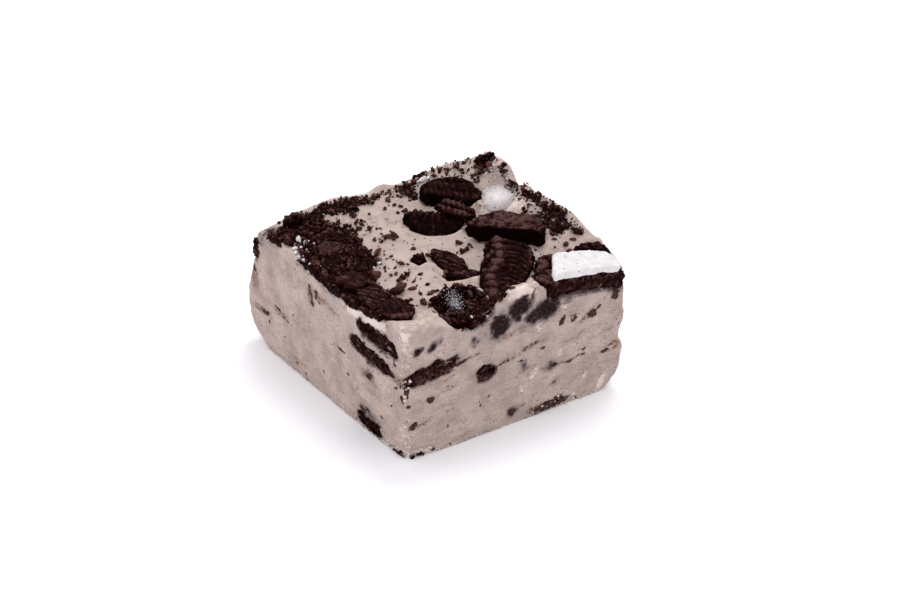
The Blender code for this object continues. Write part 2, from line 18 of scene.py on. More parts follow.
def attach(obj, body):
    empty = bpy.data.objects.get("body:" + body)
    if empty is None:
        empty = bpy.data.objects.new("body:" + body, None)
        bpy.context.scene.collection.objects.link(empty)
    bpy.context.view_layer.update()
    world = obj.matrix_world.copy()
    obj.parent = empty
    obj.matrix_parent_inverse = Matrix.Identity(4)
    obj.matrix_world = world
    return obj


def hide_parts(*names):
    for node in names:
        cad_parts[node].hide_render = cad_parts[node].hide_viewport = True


bl_info = {
    "name": "Fudge square",
    "version": (1, 0, 0),
    "blender": (4, 5, 0),
    "location": "View3D > Sidebar > Fudge",
    "description": "Builds a knife-cut square of cookies and cream fudge",
    "category": "Object",
}

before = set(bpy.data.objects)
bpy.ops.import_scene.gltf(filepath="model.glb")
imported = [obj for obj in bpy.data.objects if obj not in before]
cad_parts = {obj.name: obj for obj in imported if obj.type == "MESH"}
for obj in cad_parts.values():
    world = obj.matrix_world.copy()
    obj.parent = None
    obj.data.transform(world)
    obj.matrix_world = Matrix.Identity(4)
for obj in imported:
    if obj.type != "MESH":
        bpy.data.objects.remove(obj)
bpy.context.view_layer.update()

MM = 0.001

# Floor and lights in metres: name, place, size, power, tint
FLOOR_SIZE = 6.0
LIGHTS = (
    ("overhead", (0.3, 0.27, 0.8), 0.46, 3.35, (1.0, 0.985, 0.975)),
    ("left_fill", (-0.8, -0.5, 0.45), 0.4, 1.6, (1.0, 0.99, 0.98)),
)
# Camera: turn and height in radians, distance in metres, the point it looks at in millimetres
CAMERA_AZIMUTH = math.radians(-34.3)
CAMERA_ELEVATION = math.radians(29.0)
CAMERA_DISTANCE = 0.417
CAMERA_AIM = (3.44, -1.05, 13.0)

# Form of the block, the same values as its solid
LEFT_X = -25.0
FRONT_Y = -28.4
WIDTH = 50.6
DEPTH = 58.3
MIDDLE = np.array([LEFT_X + WIDTH / 2.0, FRONT_Y + DEPTH / 2.0, 0.0])
TOP_LEVEL = 26.7
BACK_CORNER_RADIUS = 4.0
TOP_WAVE = 0.35
SIDE_WAVE = 0.35
WAVE_LENGTH = 6.5
RIGHT_INSET = ((0.0, 5.0), (2.0, 2.7), (5.0, 0.7), (9.0, 0.0), (11.5, 1.2), (15.0, 0.3), (28.0, 0.6))
BACK_INSET = ((0.0, 9.0), (3.0, 3.2), (6.0, 0.8), (9.0, 0.0), (11.0, 0.9), (15.0, 1.5), (20.0, 3.8), (28.0, 6.0))
FOOT_CUT = 1.7
FOOT_HEIGHT = 4.0
FOOT_REACH = 5.0
SWELLS = {
    "corner_lump": (24.5, 13.0, 8.5, 6.2, 5.2, 4),
    "back_lump": (18.5, 21.5, 9.0, 5.0, 2.6, 2),
    "right_ridge": (25.0, -7.0, 7.0, 16.0, 4.4, 2),
    "back_rise": (-8.0, 21.0, 12.0, 5.0, 1.6, 2),
    "left_back_corner": (-25.0, 24.0, 5.0, 6.0, -1.2, 2),
    "left_dip": (-25.0, -6.0, 7.0, 13.0, -1.9, 2),
    "front_left_corner": (-24.0, -27.0, 8.0, 5.0, 1.2, 2),
    "front_mound": (1.5, -27.0, 5.0, 4.0, 1.2, 2),
    "front_notch": (-12.5, -28.4, 3.5, 4.0, -2.6, 2),
    "sandwich_seat": (20.0, -28.4, 9.0, 6.0, -2.5, 2),
}

# Wafer pieces of the top: relief, tone from 0 black to 1 dry and pale, roughness of the broken sides
WAFERS = {
    "wafer_back": ("long_ridges", -0.35, 1.3),
    "wafer_slab": ("slab", 1.15, 1.8),
    "wafer_ridged": ("seam", 0.05, 1.5),
    "wafer_fan": ("fan", -0.15, 0.8),
    "wafer_ribbed": ("lobes", 0.4, 1.1),
    "wafer_wedge": ("wedge", 0.4, 1.5),
    "wafer_sliver": ("crumbly", 0.5, 1.5),
    "wafer_chunk": ("crumbly", 0.35, 1.0),
    "wafer_rim": ("rim", 0.35, 0.9),
    "wafer_band_front": ("wedge", 0.6, 1.4),
    "wafer_band_middle": ("smooth", 0.75, 1.4),
    "wafer_band_back": ("smooth", 1.0, 0.8),
    "wafer_left_corner": ("crumbly", 0.25, 1.4),
    "wafer_lump_flake": ("crumbly", 0.5, 1.2),
    "wafer_front_cluster": ("crumbly", 0.2, 2.4),
    "sandwich_wafer": ("crumbly", 1.1, 1.2),
    "sandwich_scrap": ("crumbly", 0.45, 1.0),
}
# Direction across the photo in plan, in degrees
VIEW_ACROSS = -34.0
SECTIONS = (
    "section_left_upper", "section_left_middle", "section_left_base", "section_left_corner",
    "section_front_long", "section_front_round", "section_front_upper", "section_front_under_ridge",
    "section_front_right", "section_front_base",
)

# Tone of the sections that differ from the rest
SECTION_TONE = {
    "section_left_base": 0.2, "section_front_long": 0.85, "section_front_round": 0.7, "section_front_base": 1.3,
}

# Sections seen through a film of fudge, the rest are cut open
FILMED = ("section_front_upper", "section_front_under_ridge", "section_front_right")

# Bits in the cut faces: along, height, half-length, half-height, turn in degrees
LEFT_SHARP = (
    (4.4, 22.0, 0.7, 0.6, 0), (4.1, 20.7, 0.35, 1.0, 0), (3.8, 19.2, 0.7, 0.6, -20), (2.2, 22.2, 0.35, 0.5, 0),
    (1.9, 21.2, 0.4, 0.5, 0), (0.8, 20.6, 0.3, 0.3, 0), (17.2, 11.6, 1.4, 0.2, 4), (14.6, 10.2, 1.6, 0.16, 4),
    (-8.7, 9.6, 0.4, 0.35, 0), (-11.5, 8.0, 0.3, 0.4, 0), (26.6, 20.6, 1.0, 0.9, 0), (26.4, 17.0, 0.9, 0.9, 0),
    (25.0, 23.6, 0.7, 0.7, 0), (-24.0, 21.0, 0.4, 0.3, 0), (-25.4, 19.6, 0.4, 0.3, 0), (-26.6, 15.6, 0.5, 0.3, 0),
    (-25.2, 14.8, 0.4, 0.2, 0), (-24.6, 17.8, 0.3, 0.2, 0), (0.0, 5.8, 0.3, 0.3, 0), (7.0, 1.5, 0.45, 0.35, 0),
    (10.5, 2.3, 0.3, 0.3, 0), (11.5, 13.0, 0.35, 0.35, 0), (-6.6, 13.8, 2.6, 0.22, 4), (22.2, 8.3, 1.3, 0.5, -8),
    (5.0, 14.6, 0.35, 0.3, 0), (-20.5, 6.2, 0.5, 0.3, 0), (20.4, 7.0, 0.4, 0.4, 0), (8.8, 19.2, 0.3, 0.3, 0),
    (-27.6, 13.4, 0.5, 0.8, 0), (-27.8, 16.2, 0.5, 0.5, 0), (-23.6, 10.4, 0.3, 0.3, 0), (14.6, 6.4, 0.35, 0.2, 0),
)
FRONT_SHARP = (
    (-19.5, 12.0, 1.1, 0.65, 8), (-23.4, 7.5, 1.0, 0.7, 20), (-1.0, 2.8, 1.1, 0.6, 10), (-24.4, 14.8, 0.7, 0.9, 0),
    (-12.6, 17.7, 2.6, 0.32, 8), (-9.0, 18.3, 0.8, 0.28, 8), (12.0, 9.9, 3.0, 0.16, 6), (8.3, 10.0, 0.8, 0.4, 8),
    (12.2, 1.4, 0.5, 0.35, 0), (-3.0, 14.3, 1.9, 0.2, 10), (20.8, 8.9, 1.1, 0.4, 8), (-15.5, 5.0, 0.35, 0.3, 0),
    (15.5, 11.5, 1.2, 0.18, 6), (10.5, 19.1, 0.7, 1.0, -25), (13.2, 18.9, 0.4, 0.9, -25), (12.4, 18.6, 0.25, 0.7, 0),
    (17.4, 18.1, 1.2, 0.8, 40), (19.2, 19.2, 0.9, 0.3, 30), (22.9, 20.8, 1.0, 1.2, 0), (4.0, 16.0, 0.9, 0.25, 10),
    (1.0, 13.5, 0.5, 0.3, 10), (6.0, 14.6, 0.5, 0.2, 10), (-6.4, 8.2, 0.6, 0.3, 8), (-8.5, 6.7, 0.4, 0.3, 0),
    (-24.2, 12.2, 0.5, 0.4, 0), (-16.0, 13.4, 0.5, 0.2, 8), (-2.6, 6.0, 0.25, 0.2, 0), (4.6, 3.2, 0.25, 0.2, 0),
)
# Dark bits under a film: along, height, half-length, half-height, turn in degrees, strength
LEFT_FILM = (
    (-16.0, 12.7, 2.3, 1.3, 4, 1.2), (-14.6, 4.2, 2.8, 2.2, 0, 1.1), (-17.6, 4.0, 2.6, 1.6, 0, 0.9),
    (5.2, 19.4, 2.6, 1.1, -25, 0.3), (4.2, 21.0, 1.3, 2.6, 10, 0.35), (22.6, 24.2, 2.6, 1.6, -10, 0.6),
    (26.6, 19.6, 1.4, 2.6, 0, 0.5), (21.5, 8.8, 2.2, 0.9, 0, 0.35), (-24.5, 20.6, 2.0, 0.5, 4, 0.3),
    (-9.5, 7.0, 2.0, 1.0, 4, 0.25), (8.0, 21.0, 2.6, 1.3, 0, 0.25), (-12.0, 8.6, 1.0, 0.7, 0, 0.3),
)
FRONT_FILM = (
    (-7.5, 13.8, 2.9, 2.3, 10, 0.6), (-22.0, 22.8, 1.2, 0.75, 10, 1.35), (-18.7, 22.9, 1.5, 1.1, 25, 1.45),
    (-9.6, 21.0, 1.2, 1.2, 15, 0.9), (9.0, 6.2, 1.8, 1.2, 15, 0.75), (-4.2, 22.3, 2.5, 3.0, -20, 1.5),
    (0.6, 24.8, 2.6, 3.0, 30, 1.6), (10.8, 22.9, 2.0, 1.0, 10, 0.85), (6.6, 22.8, 4.2, 2.3, 22, 1.6),
    (1.5, 21.0, 3.4, 1.2, 10, 0.4), (-8.0, 22.0, 3.0, 1.2, 20, 0.35), (7.6, 10.0, 1.9, 1.3, 8, 0.9),
    (1.5, 12.1, 1.1, 1.6, -10, 0.95), (-19.6, 12.1, 1.4, 0.9, 0, 0.6), (-1.2, 2.9, 1.8, 1.2, 10, 0.8),
    (2.4, 15.8, 1.4, 0.8, 10, 0.9), (17.0, 18.0, 1.8, 1.2, 30, 0.4), (0.8, 19.8, 1.2, 0.8, 10, 0.4),
    (-24.0, 7.4, 1.4, 0.9, 0, 0.4), (-15.8, 12.6, 1.2, 0.5, 8, 0.25), (-7.8, 17.0, 1.4, 0.6, 8, 0.3),
    (15.0, 14.8, 2.0, 0.5, 8, 0.25), (21.0, 9.2, 1.8, 0.7, 8, 0.45), (-11.0, 6.4, 1.2, 0.6, 0, 0.2),
)
TOP_FILM = (
    (-5.4, 12.2, 0.9, 1.5, 0, 0.45), (-2.6, 12.3, 1.0, 0.7, 40, 0.7), (-1.5, -1.8, 2.4, 0.9, -20, 0.3),
    (-9.5, -0.4, 2.0, 1.0, 20, 0.25), (-4.8, 14.2, 1.3, 0.7, 0, 0.35), (17.0, 18.6, 1.4, 1.0, 0, 0.7),
    (15.0, 1.6, 1.6, 1.2, 0, 0.3), (20.6, 9.6, 3.0, 1.4, -20, 0.7), (15.0, 7.6, 1.2, 2.6, 20, 0.5),
    (-10.0, 14.0, 2.0, 1.0, 0, 0.2), (22.5, 4.0, 1.0, 3.0, 0, 0.4), (9.0, -24.6, 3.0, 1.0, 0, 0.35),
    (-23.4, 22.0, 2.0, 3.2, 0, 1.0),
)
LEFT_STAIN = (
    (4.1, 20.8, 0.9, 2.0, 8), (1.6, 21.6, 1.8, 0.9, 20), (-1.2, 21.4, 2.2, 0.7, 10), (-26.0, 16.6, 2.2, 1.2, 4),
    (-26.0, 21.0, 1.6, 0.5, 4), (-16.6, 12.0, 2.2, 0.4, 4), (-19.0, 9.6, 3.0, 0.3, 4), (16.6, 11.2, 2.4, 0.5, 4),
    (24.5, 8.2, 3.4, 0.9, -6), (16.5, 10.8, 4.2, 0.5, 4), (-3.5, 20.8, 2.4, 0.5, 10), (26.0, 15.0, 1.6, 3.4, 0),
    (-3.0, 11.0, 3.0, 0.3, 4), (-14.0, 6.6, 3.0, 0.3, 4), (8.0, 11.6, 3.4, 0.25, 4), (10.0, 3.4, 2.6, 0.5, 4),
)
FRONT_STAIN = (
    (-21.4, 7.6, 2.6, 0.6, 8), (-2.2, 14.5, 3.0, 0.6, 10), (23.0, 9.6, 2.2, 1.3, 0), (4.4, 16.0, 2.0, 0.6, 10),
    (-10.2, 17.9, 3.8, 0.5, 8), (0.8, 3.2, 1.8, 0.6, 6), (12.4, 9.9, 3.6, 0.35, 6), (3.4, 1.7, 1.6, 0.9, 4),
    (-15.0, 12.8, 3.4, 0.35, 8), (-15.6, 15.2, 2.4, 0.3, 8), (14.6, 14.6, 3.6, 0.3, 8), (21.0, 13.4, 2.4, 0.3, 8),
    (-1.6, 19.9, 2.2, 0.5, 10), (16.0, 18.0, 2.4, 0.9, 30), (-17.0, 9.6, 2.0, 0.25, 6), (15.0, 6.0, 2.4, 0.2, 6),
    (-12.0, 1.6, 2.4, 0.3, 4),
)
PALE_SPOTS = (
    (4.0, 10.3, 1.0, 0.8, 20), (3.2, 9.2, 0.7, 0.5, 0), (1.0, 7.2, 0.5, 0.7, 0), (16.0, 5.3, 0.5, 0.8, 0),
    (4.5, 19.6, 1.1, 0.35, 10), (5.2, 18.7, 0.8, 0.3, 10), (10.6, 22.0, 1.0, 0.4, 0), (13.0, 13.0, 1.0, 0.2, 10),
    (-23.9, 17.6, 0.5, 0.6, 0), (20.0, 2.4, 1.8, 0.8, 60), (10.0, 12.2, 0.4, 0.8, 0), (22.0, 9.4, 0.6, 0.3, 0),
    (13.6, 1.8, 0.7, 0.3, 0),
)

# Pale places of the top, partly scraped, partly painted highlight on the crests of its mounds: x, y, half-sizes,
# strength
PALE_TOP = (
    (-21.0, -26.2, 4.0, 2.2, 0.5), (25.0, -8.0, 1.2, 7.0, 0.8), (1.0, -27.8, 4.0, 1.4, 1.1),
    (-6.2, -22.6, 2.2, 1.4, 0.7), (19.4, -0.4, 1.6, 3.0, 0.9), (-24.6, -15.0, 1.2, 7.0, 0.9),
    (24.4, 2.2, 1.4, 1.8, 0.8), (17.0, 2.6, 3.6, 3.4, 0.8), (13.2, -14.4, 1.2, 3.4, 0.35),
    (23.5, 14.0, 4.0, 6.0, 0.45), (12.0, 20.0, 3.0, 1.4, 0.4), (-16.0, 24.6, 4.0, 1.6, 0.5),
    (-2.0, 23.6, 5.0, 2.0, 0.6),
)

# Small mounds of the top: x, y, half-sizes, rise
MOUNDS = (
    (-1.2, -28.0, 1.6, 1.4, 0.8), (2.2, -27.8, 2.2, 1.4, 0.6), (4.8, -27.8, 1.2, 1.2, 0.5),
    (-2.4, -19.6, 1.4, 2.6, 0.5), (0.6, -16.0, 1.0, 1.6, 0.9), (14.6, 4.6, 1.2, 3.4, 1.0), (17.8, 9.8, 2.8, 1.4, 1.0),
    (22.6, 4.0, 1.3, 3.6, 0.8), (18.6, -0.6, 3.0, 1.2, 0.9), (-6.2, -22.8, 2.6, 1.7, 1.0), (24.6, 2.2, 1.2, 1.6, 1.4),
    (20.2, -2.7, 1.2, 2.4, 0.7), (-24.4, -25.5, 1.4, 2.0, 0.4), (12.8, -15.0, 1.0, 3.2, 0.5),
    (-1.0, -0.8, 2.4, 1.0, 0.35), (5.2, -5.2, 1.6, 1.4, 0.4), (-17.0, 24.0, 2.0, 1.6, 0.5),
    (3.0, 23.2, 2.2, 1.4, 1.2), (6.6, -25.6, 1.0, 1.6, 0.5), (-9.0, 23.4, 3.0, 1.6, 0.6), (20.5, 9.0, 2.6, 1.6, 0.6),
)

# Right edge of the crumb band along the left cut: y, x
BAND_EDGE = (
    (-21.5, -17.4), (-15.5, -17.4), (-14.0, -15.6), (-12.3, -15.6), (-11.0, -18.0), (-7.5, -17.6), (-6.4, -15.4),
    (-4.5, -15.6), (-3.0, -14.2), (-1.5, -13.0), (0.0, -12.4), (3.0, -11.5), (8.0, -11.1), (10.0, -10.5),
    (12.0, -10.0), (14.0, -10.8), (16.0, -12.0), (18.0, -11.4), (20.0, -9.0),
)
# Other crumbed patches of the top: x, y, half-sizes, share covered
CRUMBED = (
    (8.6, 20.9, 3.0, 1.0, 0.9), (-9.0, 19.8, 10.5, 2.4, 0.9), (-7.5, 18.2, 3.2, 1.7, 0.85),
    (-7.7, 16.3, 1.1, 0.9, 0.7), (-0.5, 20.6, 3.6, 1.0, 0.7), (5.5, 20.4, 3.5, 1.1, 0.6), (7.0, 18.6, 1.7, 2.6, 0.8),
    (11.5, 21.4, 3.2, 1.2, 0.5), (6.3, 16.1, 1.2, 0.8, 0.8), (14.2, 19.2, 2.0, 1.6, 0.35),
    (17.8, 18.0, 1.2, 0.9, 0.4), (19.6, 13.0, 2.0, 1.4, 0.6), (19.0, 10.6, 2.2, 1.2, 0.65),
    (22.6, 8.0, 1.3, 1.4, 0.8), (23.0, 5.2, 1.1, 1.6, 0.8), (22.6, -2.0, 1.5, 3.6, 0.95), (22.4, -9.0, 2.0, 3.2, 0.9),
    (21.0, -13.0, 2.6, 2.4, 0.8), (22.4, -16.6, 0.9, 1.6, 0.7), (19.6, -10.6, 1.8, 2.0, 0.8),
    (19.0, -4.6, 1.0, 1.6, 0.7), (19.6, -7.4, 1.4, 1.2, 0.8), (-9.8, -26.6, 6.0, 2.8, 0.95),
    (-14.4, -22.6, 1.6, 2.4, 0.8), (-7.6, -18.4, 2.0, 0.9, 0.5), (-3.4, -26.6, 2.6, 1.6, 0.9),
    (-11.8, -18.0, 1.6, 0.8, 0.6), (3.4, -6.8, 1.5, 0.6, 0.5), (-6.4, 5.6, 1.5, 1.1, 0.6),
    (-12.2, -9.1, 1.6, 0.7, 0.6), (8.4, -23.0, 0.8, 0.9, 0.5), (14.6, 4.4, 0.8, 0.9, 0.3),
    (7.0, -22.4, 0.7, 0.8, 0.4), (-6.4, -26.8, 3.2, 1.6, 0.9),
)
BARE = (
    (-24.3, 12.0, 1.2, 3.0), (-12.8, 17.6, 1.1, 1.0), (-11.3, 11.3, 0.9, 0.7), (-24.0, -24.5, 6.0, 2.2),
    (20.3, -4.6, 1.0, 2.6), (-23.8, 23.6, 2.6, 4.0), (-16.0, 24.6, 3.2, 1.0), (-1.0, 24.0, 4.0, 1.6),
    (25.2, -5.0, 1.2, 16.0), (22.0, 20.0, 3.0, 2.0),
)

# Thinly sprinkled places: x, y, half-sizes, share of the fine crumbs tried that are kept
SPRINKLED = (
    (18.0, 16.0, 8.5, 8.0, 0.22), (22.5, -5.0, 3.2, 14.0, 0.5), (-12.5, -8.0, 4.0, 10.0, 0.09),
    (-8.5, 12.0, 4.0, 4.0, 0.1), (-14.0, 22.0, 9.0, 2.2, 0.06), (4.0, 20.0, 7.0, 2.0, 0.2),
    (-5.0, -24.0, 5.0, 3.0, 0.25), (10.0, -19.5, 2.0, 4.0, 0.15),
)

# Crumbs that are seen one by one: x, y, length
FIELD_CRUMBS = (
    (1.5, 17.8, 1.5), (1.5, 16.0, 1.3), (-0.7, 15.7, 1.3), (-4.5, 15.6, 0.9), (-7.8, 13.1, 1.2), (-8.9, 13.8, 0.6),
    (0.8, 13.3, 1.1), (2.4, 13.1, 1.9), (4.5, 18.0, 0.8), (-6.7, 5.3, 2.0), (-5.2, 5.0, 1.7), (-6.0, 4.2, 1.5),
    (-4.9, 6.4, 1.0), (-9.2, 6.3, 1.6), (-8.7, 4.7, 1.1), (-6.8, 7.6, 0.7), (-4.8, 7.5, 0.6), (-7.5, 2.3, 0.6),
    (-10.3, -1.4, 0.9), (-10.5, -2.5, 0.7), (-5.0, -1.0, 1.3), (-4.0, 0.7, 0.6), (1.3, 0.0, 0.7), (0.8, -2.3, 0.6),
    (-10.3, -5.3, 1.9), (-9.7, -6.2, 1.4), (-12.8, -9.2, 1.7), (-11.9, -8.9, 1.5), (-10.9, -8.6, 1.1),
    (-13.9, -9.6, 1.4), (-12.2, -11.9, 1.1), (-9.7, -10.5, 1.2), (-10.8, -14.5, 1.2), (-7.8, -13.8, 1.0),
    (-13.9, -14.3, 1.6), (-13.9, -16.9, 1.2), (-16.2, -17.4, 1.0), (-16.2, -5.5, 2.2), (-13.4, -4.0, 1.4),
    (-14.0, -7.0, 1.0), (-12.6, -18.2, 1.6), (-11.6, -18.0, 1.5), (-8.2, -16.8, 1.3), (-15.3, -20.0, 2.9),
    (-7.2, -18.0, 1.5), (-6.0, -17.4, 1.1), (3.7, -4.0, 1.5), (3.2, -3.6, 1.0), (2.8, -6.9, 1.1), (3.7, -6.5, 1.2),
    (4.6, -5.9, 1.3), (1.8, -7.5, 0.9), (-4.5, -19.5, 0.7), (-5.5, -12.9, 1.8), (18.5, -18.1, 2.0),
    (16.9, -16.9, 0.9), (20.3, -17.8, 1.3), (13.3, -15.5, 1.1), (13.2, -17.2, 0.6), (10.9, -18.6, 1.3),
    (9.2, -21.0, 1.6), (7.0, -23.2, 1.6), (-16.9, -14.2, 2.8), (-15.6, -12.9, 2.2), (17.8, 18.2, 1.8),
    (19.5, 17.5, 1.2), (20.0, 14.2, 1.3), (19.3, 11.0, 1.9), (23.3, 9.0, 1.6), (-8.6, -3.6, 0.6), (-7.0, -9.4, 0.5),
    (-5.6, 9.6, 0.5), (-9.6, 9.4, 0.6),
)
# White grains of cream among the crumbs: x, y, length
GRAINS = (
    (-21.6, 14.0, 1.5), (-22.6, 13.2, 1.0), (-21.0, 12.6, 1.1), (-23.4, 12.0, 1.2), (-22.4, 11.6, 0.9),
    (-24.0, 10.8, 1.2), (-23.0, 10.4, 1.0), (-24.3, 9.2, 1.0), (-22.2, 9.8, 0.8), (-19.2, 8.6, 1.2),
    (-18.6, 8.9, 0.7), (-16.5, 6.6, 0.8), (-24.2, 5.4, 0.9), (-24.4, 7.6, 0.9), (-20.4, 11.8, 0.6),
    (-13.6, -2.2, 1.0), (-14.0, -3.2, 0.7), (-20.8, 16.0, 0.6), (-19.4, 5.0, 0.5), (-18.8, -2.0, 0.5),
    (-20.4, -2.8, 0.5), (11.0, 20.0, 1.8), (12.2, 19.8, 1.2), (10.2, 20.2, 1.0), (-12.9, 18.8, 0.7),
    (-15.0, 12.0, 0.5), (-22.6, 3.4, 0.4),
)
# Pale chips on the front cut face: x, height, length
CHIPS = (
    (4.2, 10.6, 1.7), (3.4, 9.4, 1.0), (2.8, 10.2, 0.7), (1.0, 7.0, 1.0), (0.8, 7.9, 0.7), (16.0, 5.6, 0.9),
    (4.6, 19.4, 1.1), (5.4, 18.8, 0.8), (13.4, 13.2, 0.6), (10.2, 12.4, 0.6), (10.8, 21.9, 0.9), (12.4, 22.3, 0.7),
    (-23.9, 17.4, 0.9), (-24.3, 16.0, 0.6), (-24.4, 9.0, 0.8), (-24.2, 5.4, 0.7), (-11.2, 19.8, 0.5),
    (-6.9, 25.4, 0.7), (7.0, 3.4, 0.5), (9.2, 3.1, 0.5), (11.0, 2.6, 0.4), (6.0, 1.6, 0.5), (8.0, 1.8, 0.5),
    (7.6, 2.6, 0.5), (8.6, 2.4, 0.4), (9.8, 2.6, 0.5), (10.4, 3.2, 0.4), (9.0, 1.6, 0.4), (7.2, 1.2, 0.4),
    (5.0, 0.9, 0.5), (11.8, 3.0, 0.4), (8.2, 3.2, 0.3), (6.4, 2.4, 0.3), (10.0, 1.9, 0.3), (-10.4, 26.4, 0.6),
    (-2.0, 9.8, 0.4), (-23.6, 22.4, 0.5), (-24.2, 20.6, 0.7), (-23.8, 13.0, 0.5),
)
# Fine sugar on the front piece: middle and half-sizes in plan
SUGAR_PATCH = (-11.0, -23.6, 28.3, 1.7, 2.3)
# Lump of cream: middle, half-sizes in plan, turn in degrees
LUMP = (18.9, 4.6, 3.4, 4.9, -35.0)
# Rounded back corner of the top that crumbs stay inside of: middle and radius
BACK_CORNER = (21.0, 19.9, 3.3)
SEED = 8
# Dark bits in each of the two sides that the photo doesn't show
HIDDEN_BITS = 18

# Numbers of grains: fine cream, sugar, powder round the lump, upright edge, foot (dark and pale), front ridge
FINE_CREAM, SUGAR, POWDER, UPRIGHT, DEBRIS, FOOT, RIDGE = 110, 420, 800, 80, 36, 950, 90
# Kinds of grain in a scatter, their tilts, their flatness, how far they heap and how much painted shade darkens them in
# a heap
GRAIN_KINDS = 12
GRAIN_TILT = np.array([1.0, 0.15, 0.15])
GRAIN_SQUASH = np.array([1.0, 1.0, 0.9])
HEAP = 0.6
THICK_SHADE = 0.45
# Share of the fine crumbs kept away from the sprinkled places
STRAY_SHARE = 0.015

# Fudge round the wafer pieces of the top: how far it is looked for, its rise, its hollow
LIP_SEARCH = 3.0
LIP_RISE = 0.5
LIP_HOLLOW = 0.45
# Wafer in the cut faces: how far behind them and how near it is looked for, and where the sandwich's starts
PROBE = 0.6
CARVE_SEARCH = 1.6
SANDWICH_FROM = 6.2
# How much smaller the sections are than their solids, and the fudge over the filmed ones
SECTION_SHRINK = 0.12
FILMED_SHRINK = 0.45
FILM_THICKNESS = 0.7
# Values of a point that is outside all marks and of a wafer without sugar
OUTSIDE = -9.0
NO_FROST = -1.0


def place(points):
    """Block millimetres to the row frame in metres."""
    return (np.asarray(points, float) - MIDDLE) * MM


def unplace(points):
    """Row frame metres to block millimetres."""
    return np.asarray(points, float) / MM + MIDDLE


def lattice(points, length, seed):
    """Smooth noise between -1 and 1; length is one number or one for each axis."""
    size = 48
    values = np.random.default_rng(seed).uniform(-1.0, 1.0, (size, size, size))
    scaled = points / np.asarray(length, float)
    cell = np.floor(scaled).astype(int)
    part = scaled - cell
    part = part * part * (3.0 - 2.0 * part)
    total = np.zeros(len(points))
    for dx in (0, 1):
        for dy in (0, 1):
            for dz in (0, 1):
                corner = (cell + (dx, dy, dz)) % size
                weight = np.abs(1 - dx - part[:, 0]) * np.abs(1 - dy - part[:, 1]) * np.abs(1 - dz - part[:, 2])
                total += weight * values[corner[:, 0], corner[:, 1], corner[:, 2]]
    return total


def fractal(points, length, seed, octaves=3, gain=0.5):
    """Several octaves of the smooth noise."""
    total = np.zeros(len(points))
    for octave in range(octaves):
        total += gain ** octave * lattice(points, np.asarray(length, float) / 2.0 ** octave, seed + octave)
    return total


def smooth_step(value, low, high):
    """0 below low, 1 above high, smooth between."""
    share = np.clip((value - low) / (high - low), 0.0, 1.0)
    return share * share * (3.0 - 2.0 * share)


def inset_at(profile, height):
    """How far a side stands back at some heights."""
    heights, insets = zip(*profile)
    return np.interp(height, heights, insets)


def foot_inset(off_x, off_y, up):
    """How far the foot of the front corner stands back, from the distances to its two faces."""
    return FOOT_CUT * np.clip(1.0 - up / FOOT_HEIGHT, 0.0, 1.0) * np.exp(-(((off_x + off_y) / FOOT_REACH) ** 2))


def hill(x, y, centre_x, centre_y, half_x, half_y):
    """Smooth hill of height 1 in plan."""
    return np.exp(-(((x - centre_x) / half_x) ** 2) - ((y - centre_y) / half_y) ** 2)


def top_height(x, y):
    """Height of the poured top over points."""
    x, y = np.atleast_1d(np.asarray(x, float)), np.atleast_1d(np.asarray(y, float))
    flat = zip(x / WAVE_LENGTH, y / WAVE_LENGTH)
    height = TOP_LEVEL + TOP_WAVE * np.array([noise.noise(Vector((a, b, 3.0 / WAVE_LENGTH))) for a, b in flat])
    for centre_x, centre_y, half_x, half_y, rise, steepness in SWELLS.values():
        height += rise * np.exp(-np.abs((x - centre_x) / half_x) ** 2 - np.abs((y - centre_y) / half_y) ** steepness)
    return height


def mound_rise(x, y):
    """How far the small mounds lift the top over points."""
    rise = np.zeros(len(x))
    for centre_x, centre_y, half_x, half_y, most in MOUNDS:
        rise += most * hill(x, y, centre_x, centre_y, half_x, half_y)
    return rise


def crumb_cover(x, y):
    """Share of the top that crumbs cover, 0 to 1."""
    points = np.stack([x, y, np.zeros_like(x)], 1)
    ragged = fractal(points, 2.2, 70)
    ys, xs = zip(*BAND_EDGE)
    cover = smooth_step(np.interp(y, ys, xs) + 0.9 * ragged - x, -0.1, 1.1) * smooth_step(y, -22.0, -20.0)
    for centre_x, centre_y, half_x, half_y, most in CRUMBED:
        away = np.hypot((x - centre_x) / half_x, (y - centre_y) / half_y) + 0.35 * ragged
        cover = np.maximum(cover, most * smooth_step(-away, -1.15, -0.6))
    for centre_x, centre_y, half_x, half_y in BARE:
        away = np.hypot((x - centre_x) / half_x, (y - centre_y) / half_y) + 0.25 * ragged
        cover *= 1.0 - 0.9 * smooth_step(-away, -1.1, -0.7)
    rim = smooth_step(y + 0.6 * ragged, 20.8, 22.2) * smooth_step(-x, -9.0, -6.0)
    return cover * (1.0 - 0.95 * rim)


def sprinkled(x, y):
    """Share of the fine crumbs that thinly sprinkled places keep."""
    share = np.full(len(x), STRAY_SHARE)
    for centre_x, centre_y, half_x, half_y, most in SPRINKLED:
        away = np.hypot((x - centre_x) / half_x, (y - centre_y) / half_y)
        share = np.maximum(share, most * smooth_step(-away, -1.1, -0.6))
    return share


def ellipse_reach(along, height, mark):
    """Distance from the middle of an ellipse, 1 on its rim."""
    angle = math.radians(mark[4])
    du, dw = along - mark[0], height - mark[1]
    a = du * math.cos(angle) + dw * math.sin(angle)
    b = -du * math.sin(angle) + dw * math.cos(angle)
    return np.hypot(a / mark[2], b / mark[3])


def mark_depth(along, height, marks):
    """How deep inside the nearest of some ellipses, in millimetres, negative outside."""
    depth = np.full(len(along), OUTSIDE)
    for mark in marks:
        depth = np.maximum(depth, (1.0 - ellipse_reach(along, height, mark)) * min(mark[2], mark[3]))
    return depth


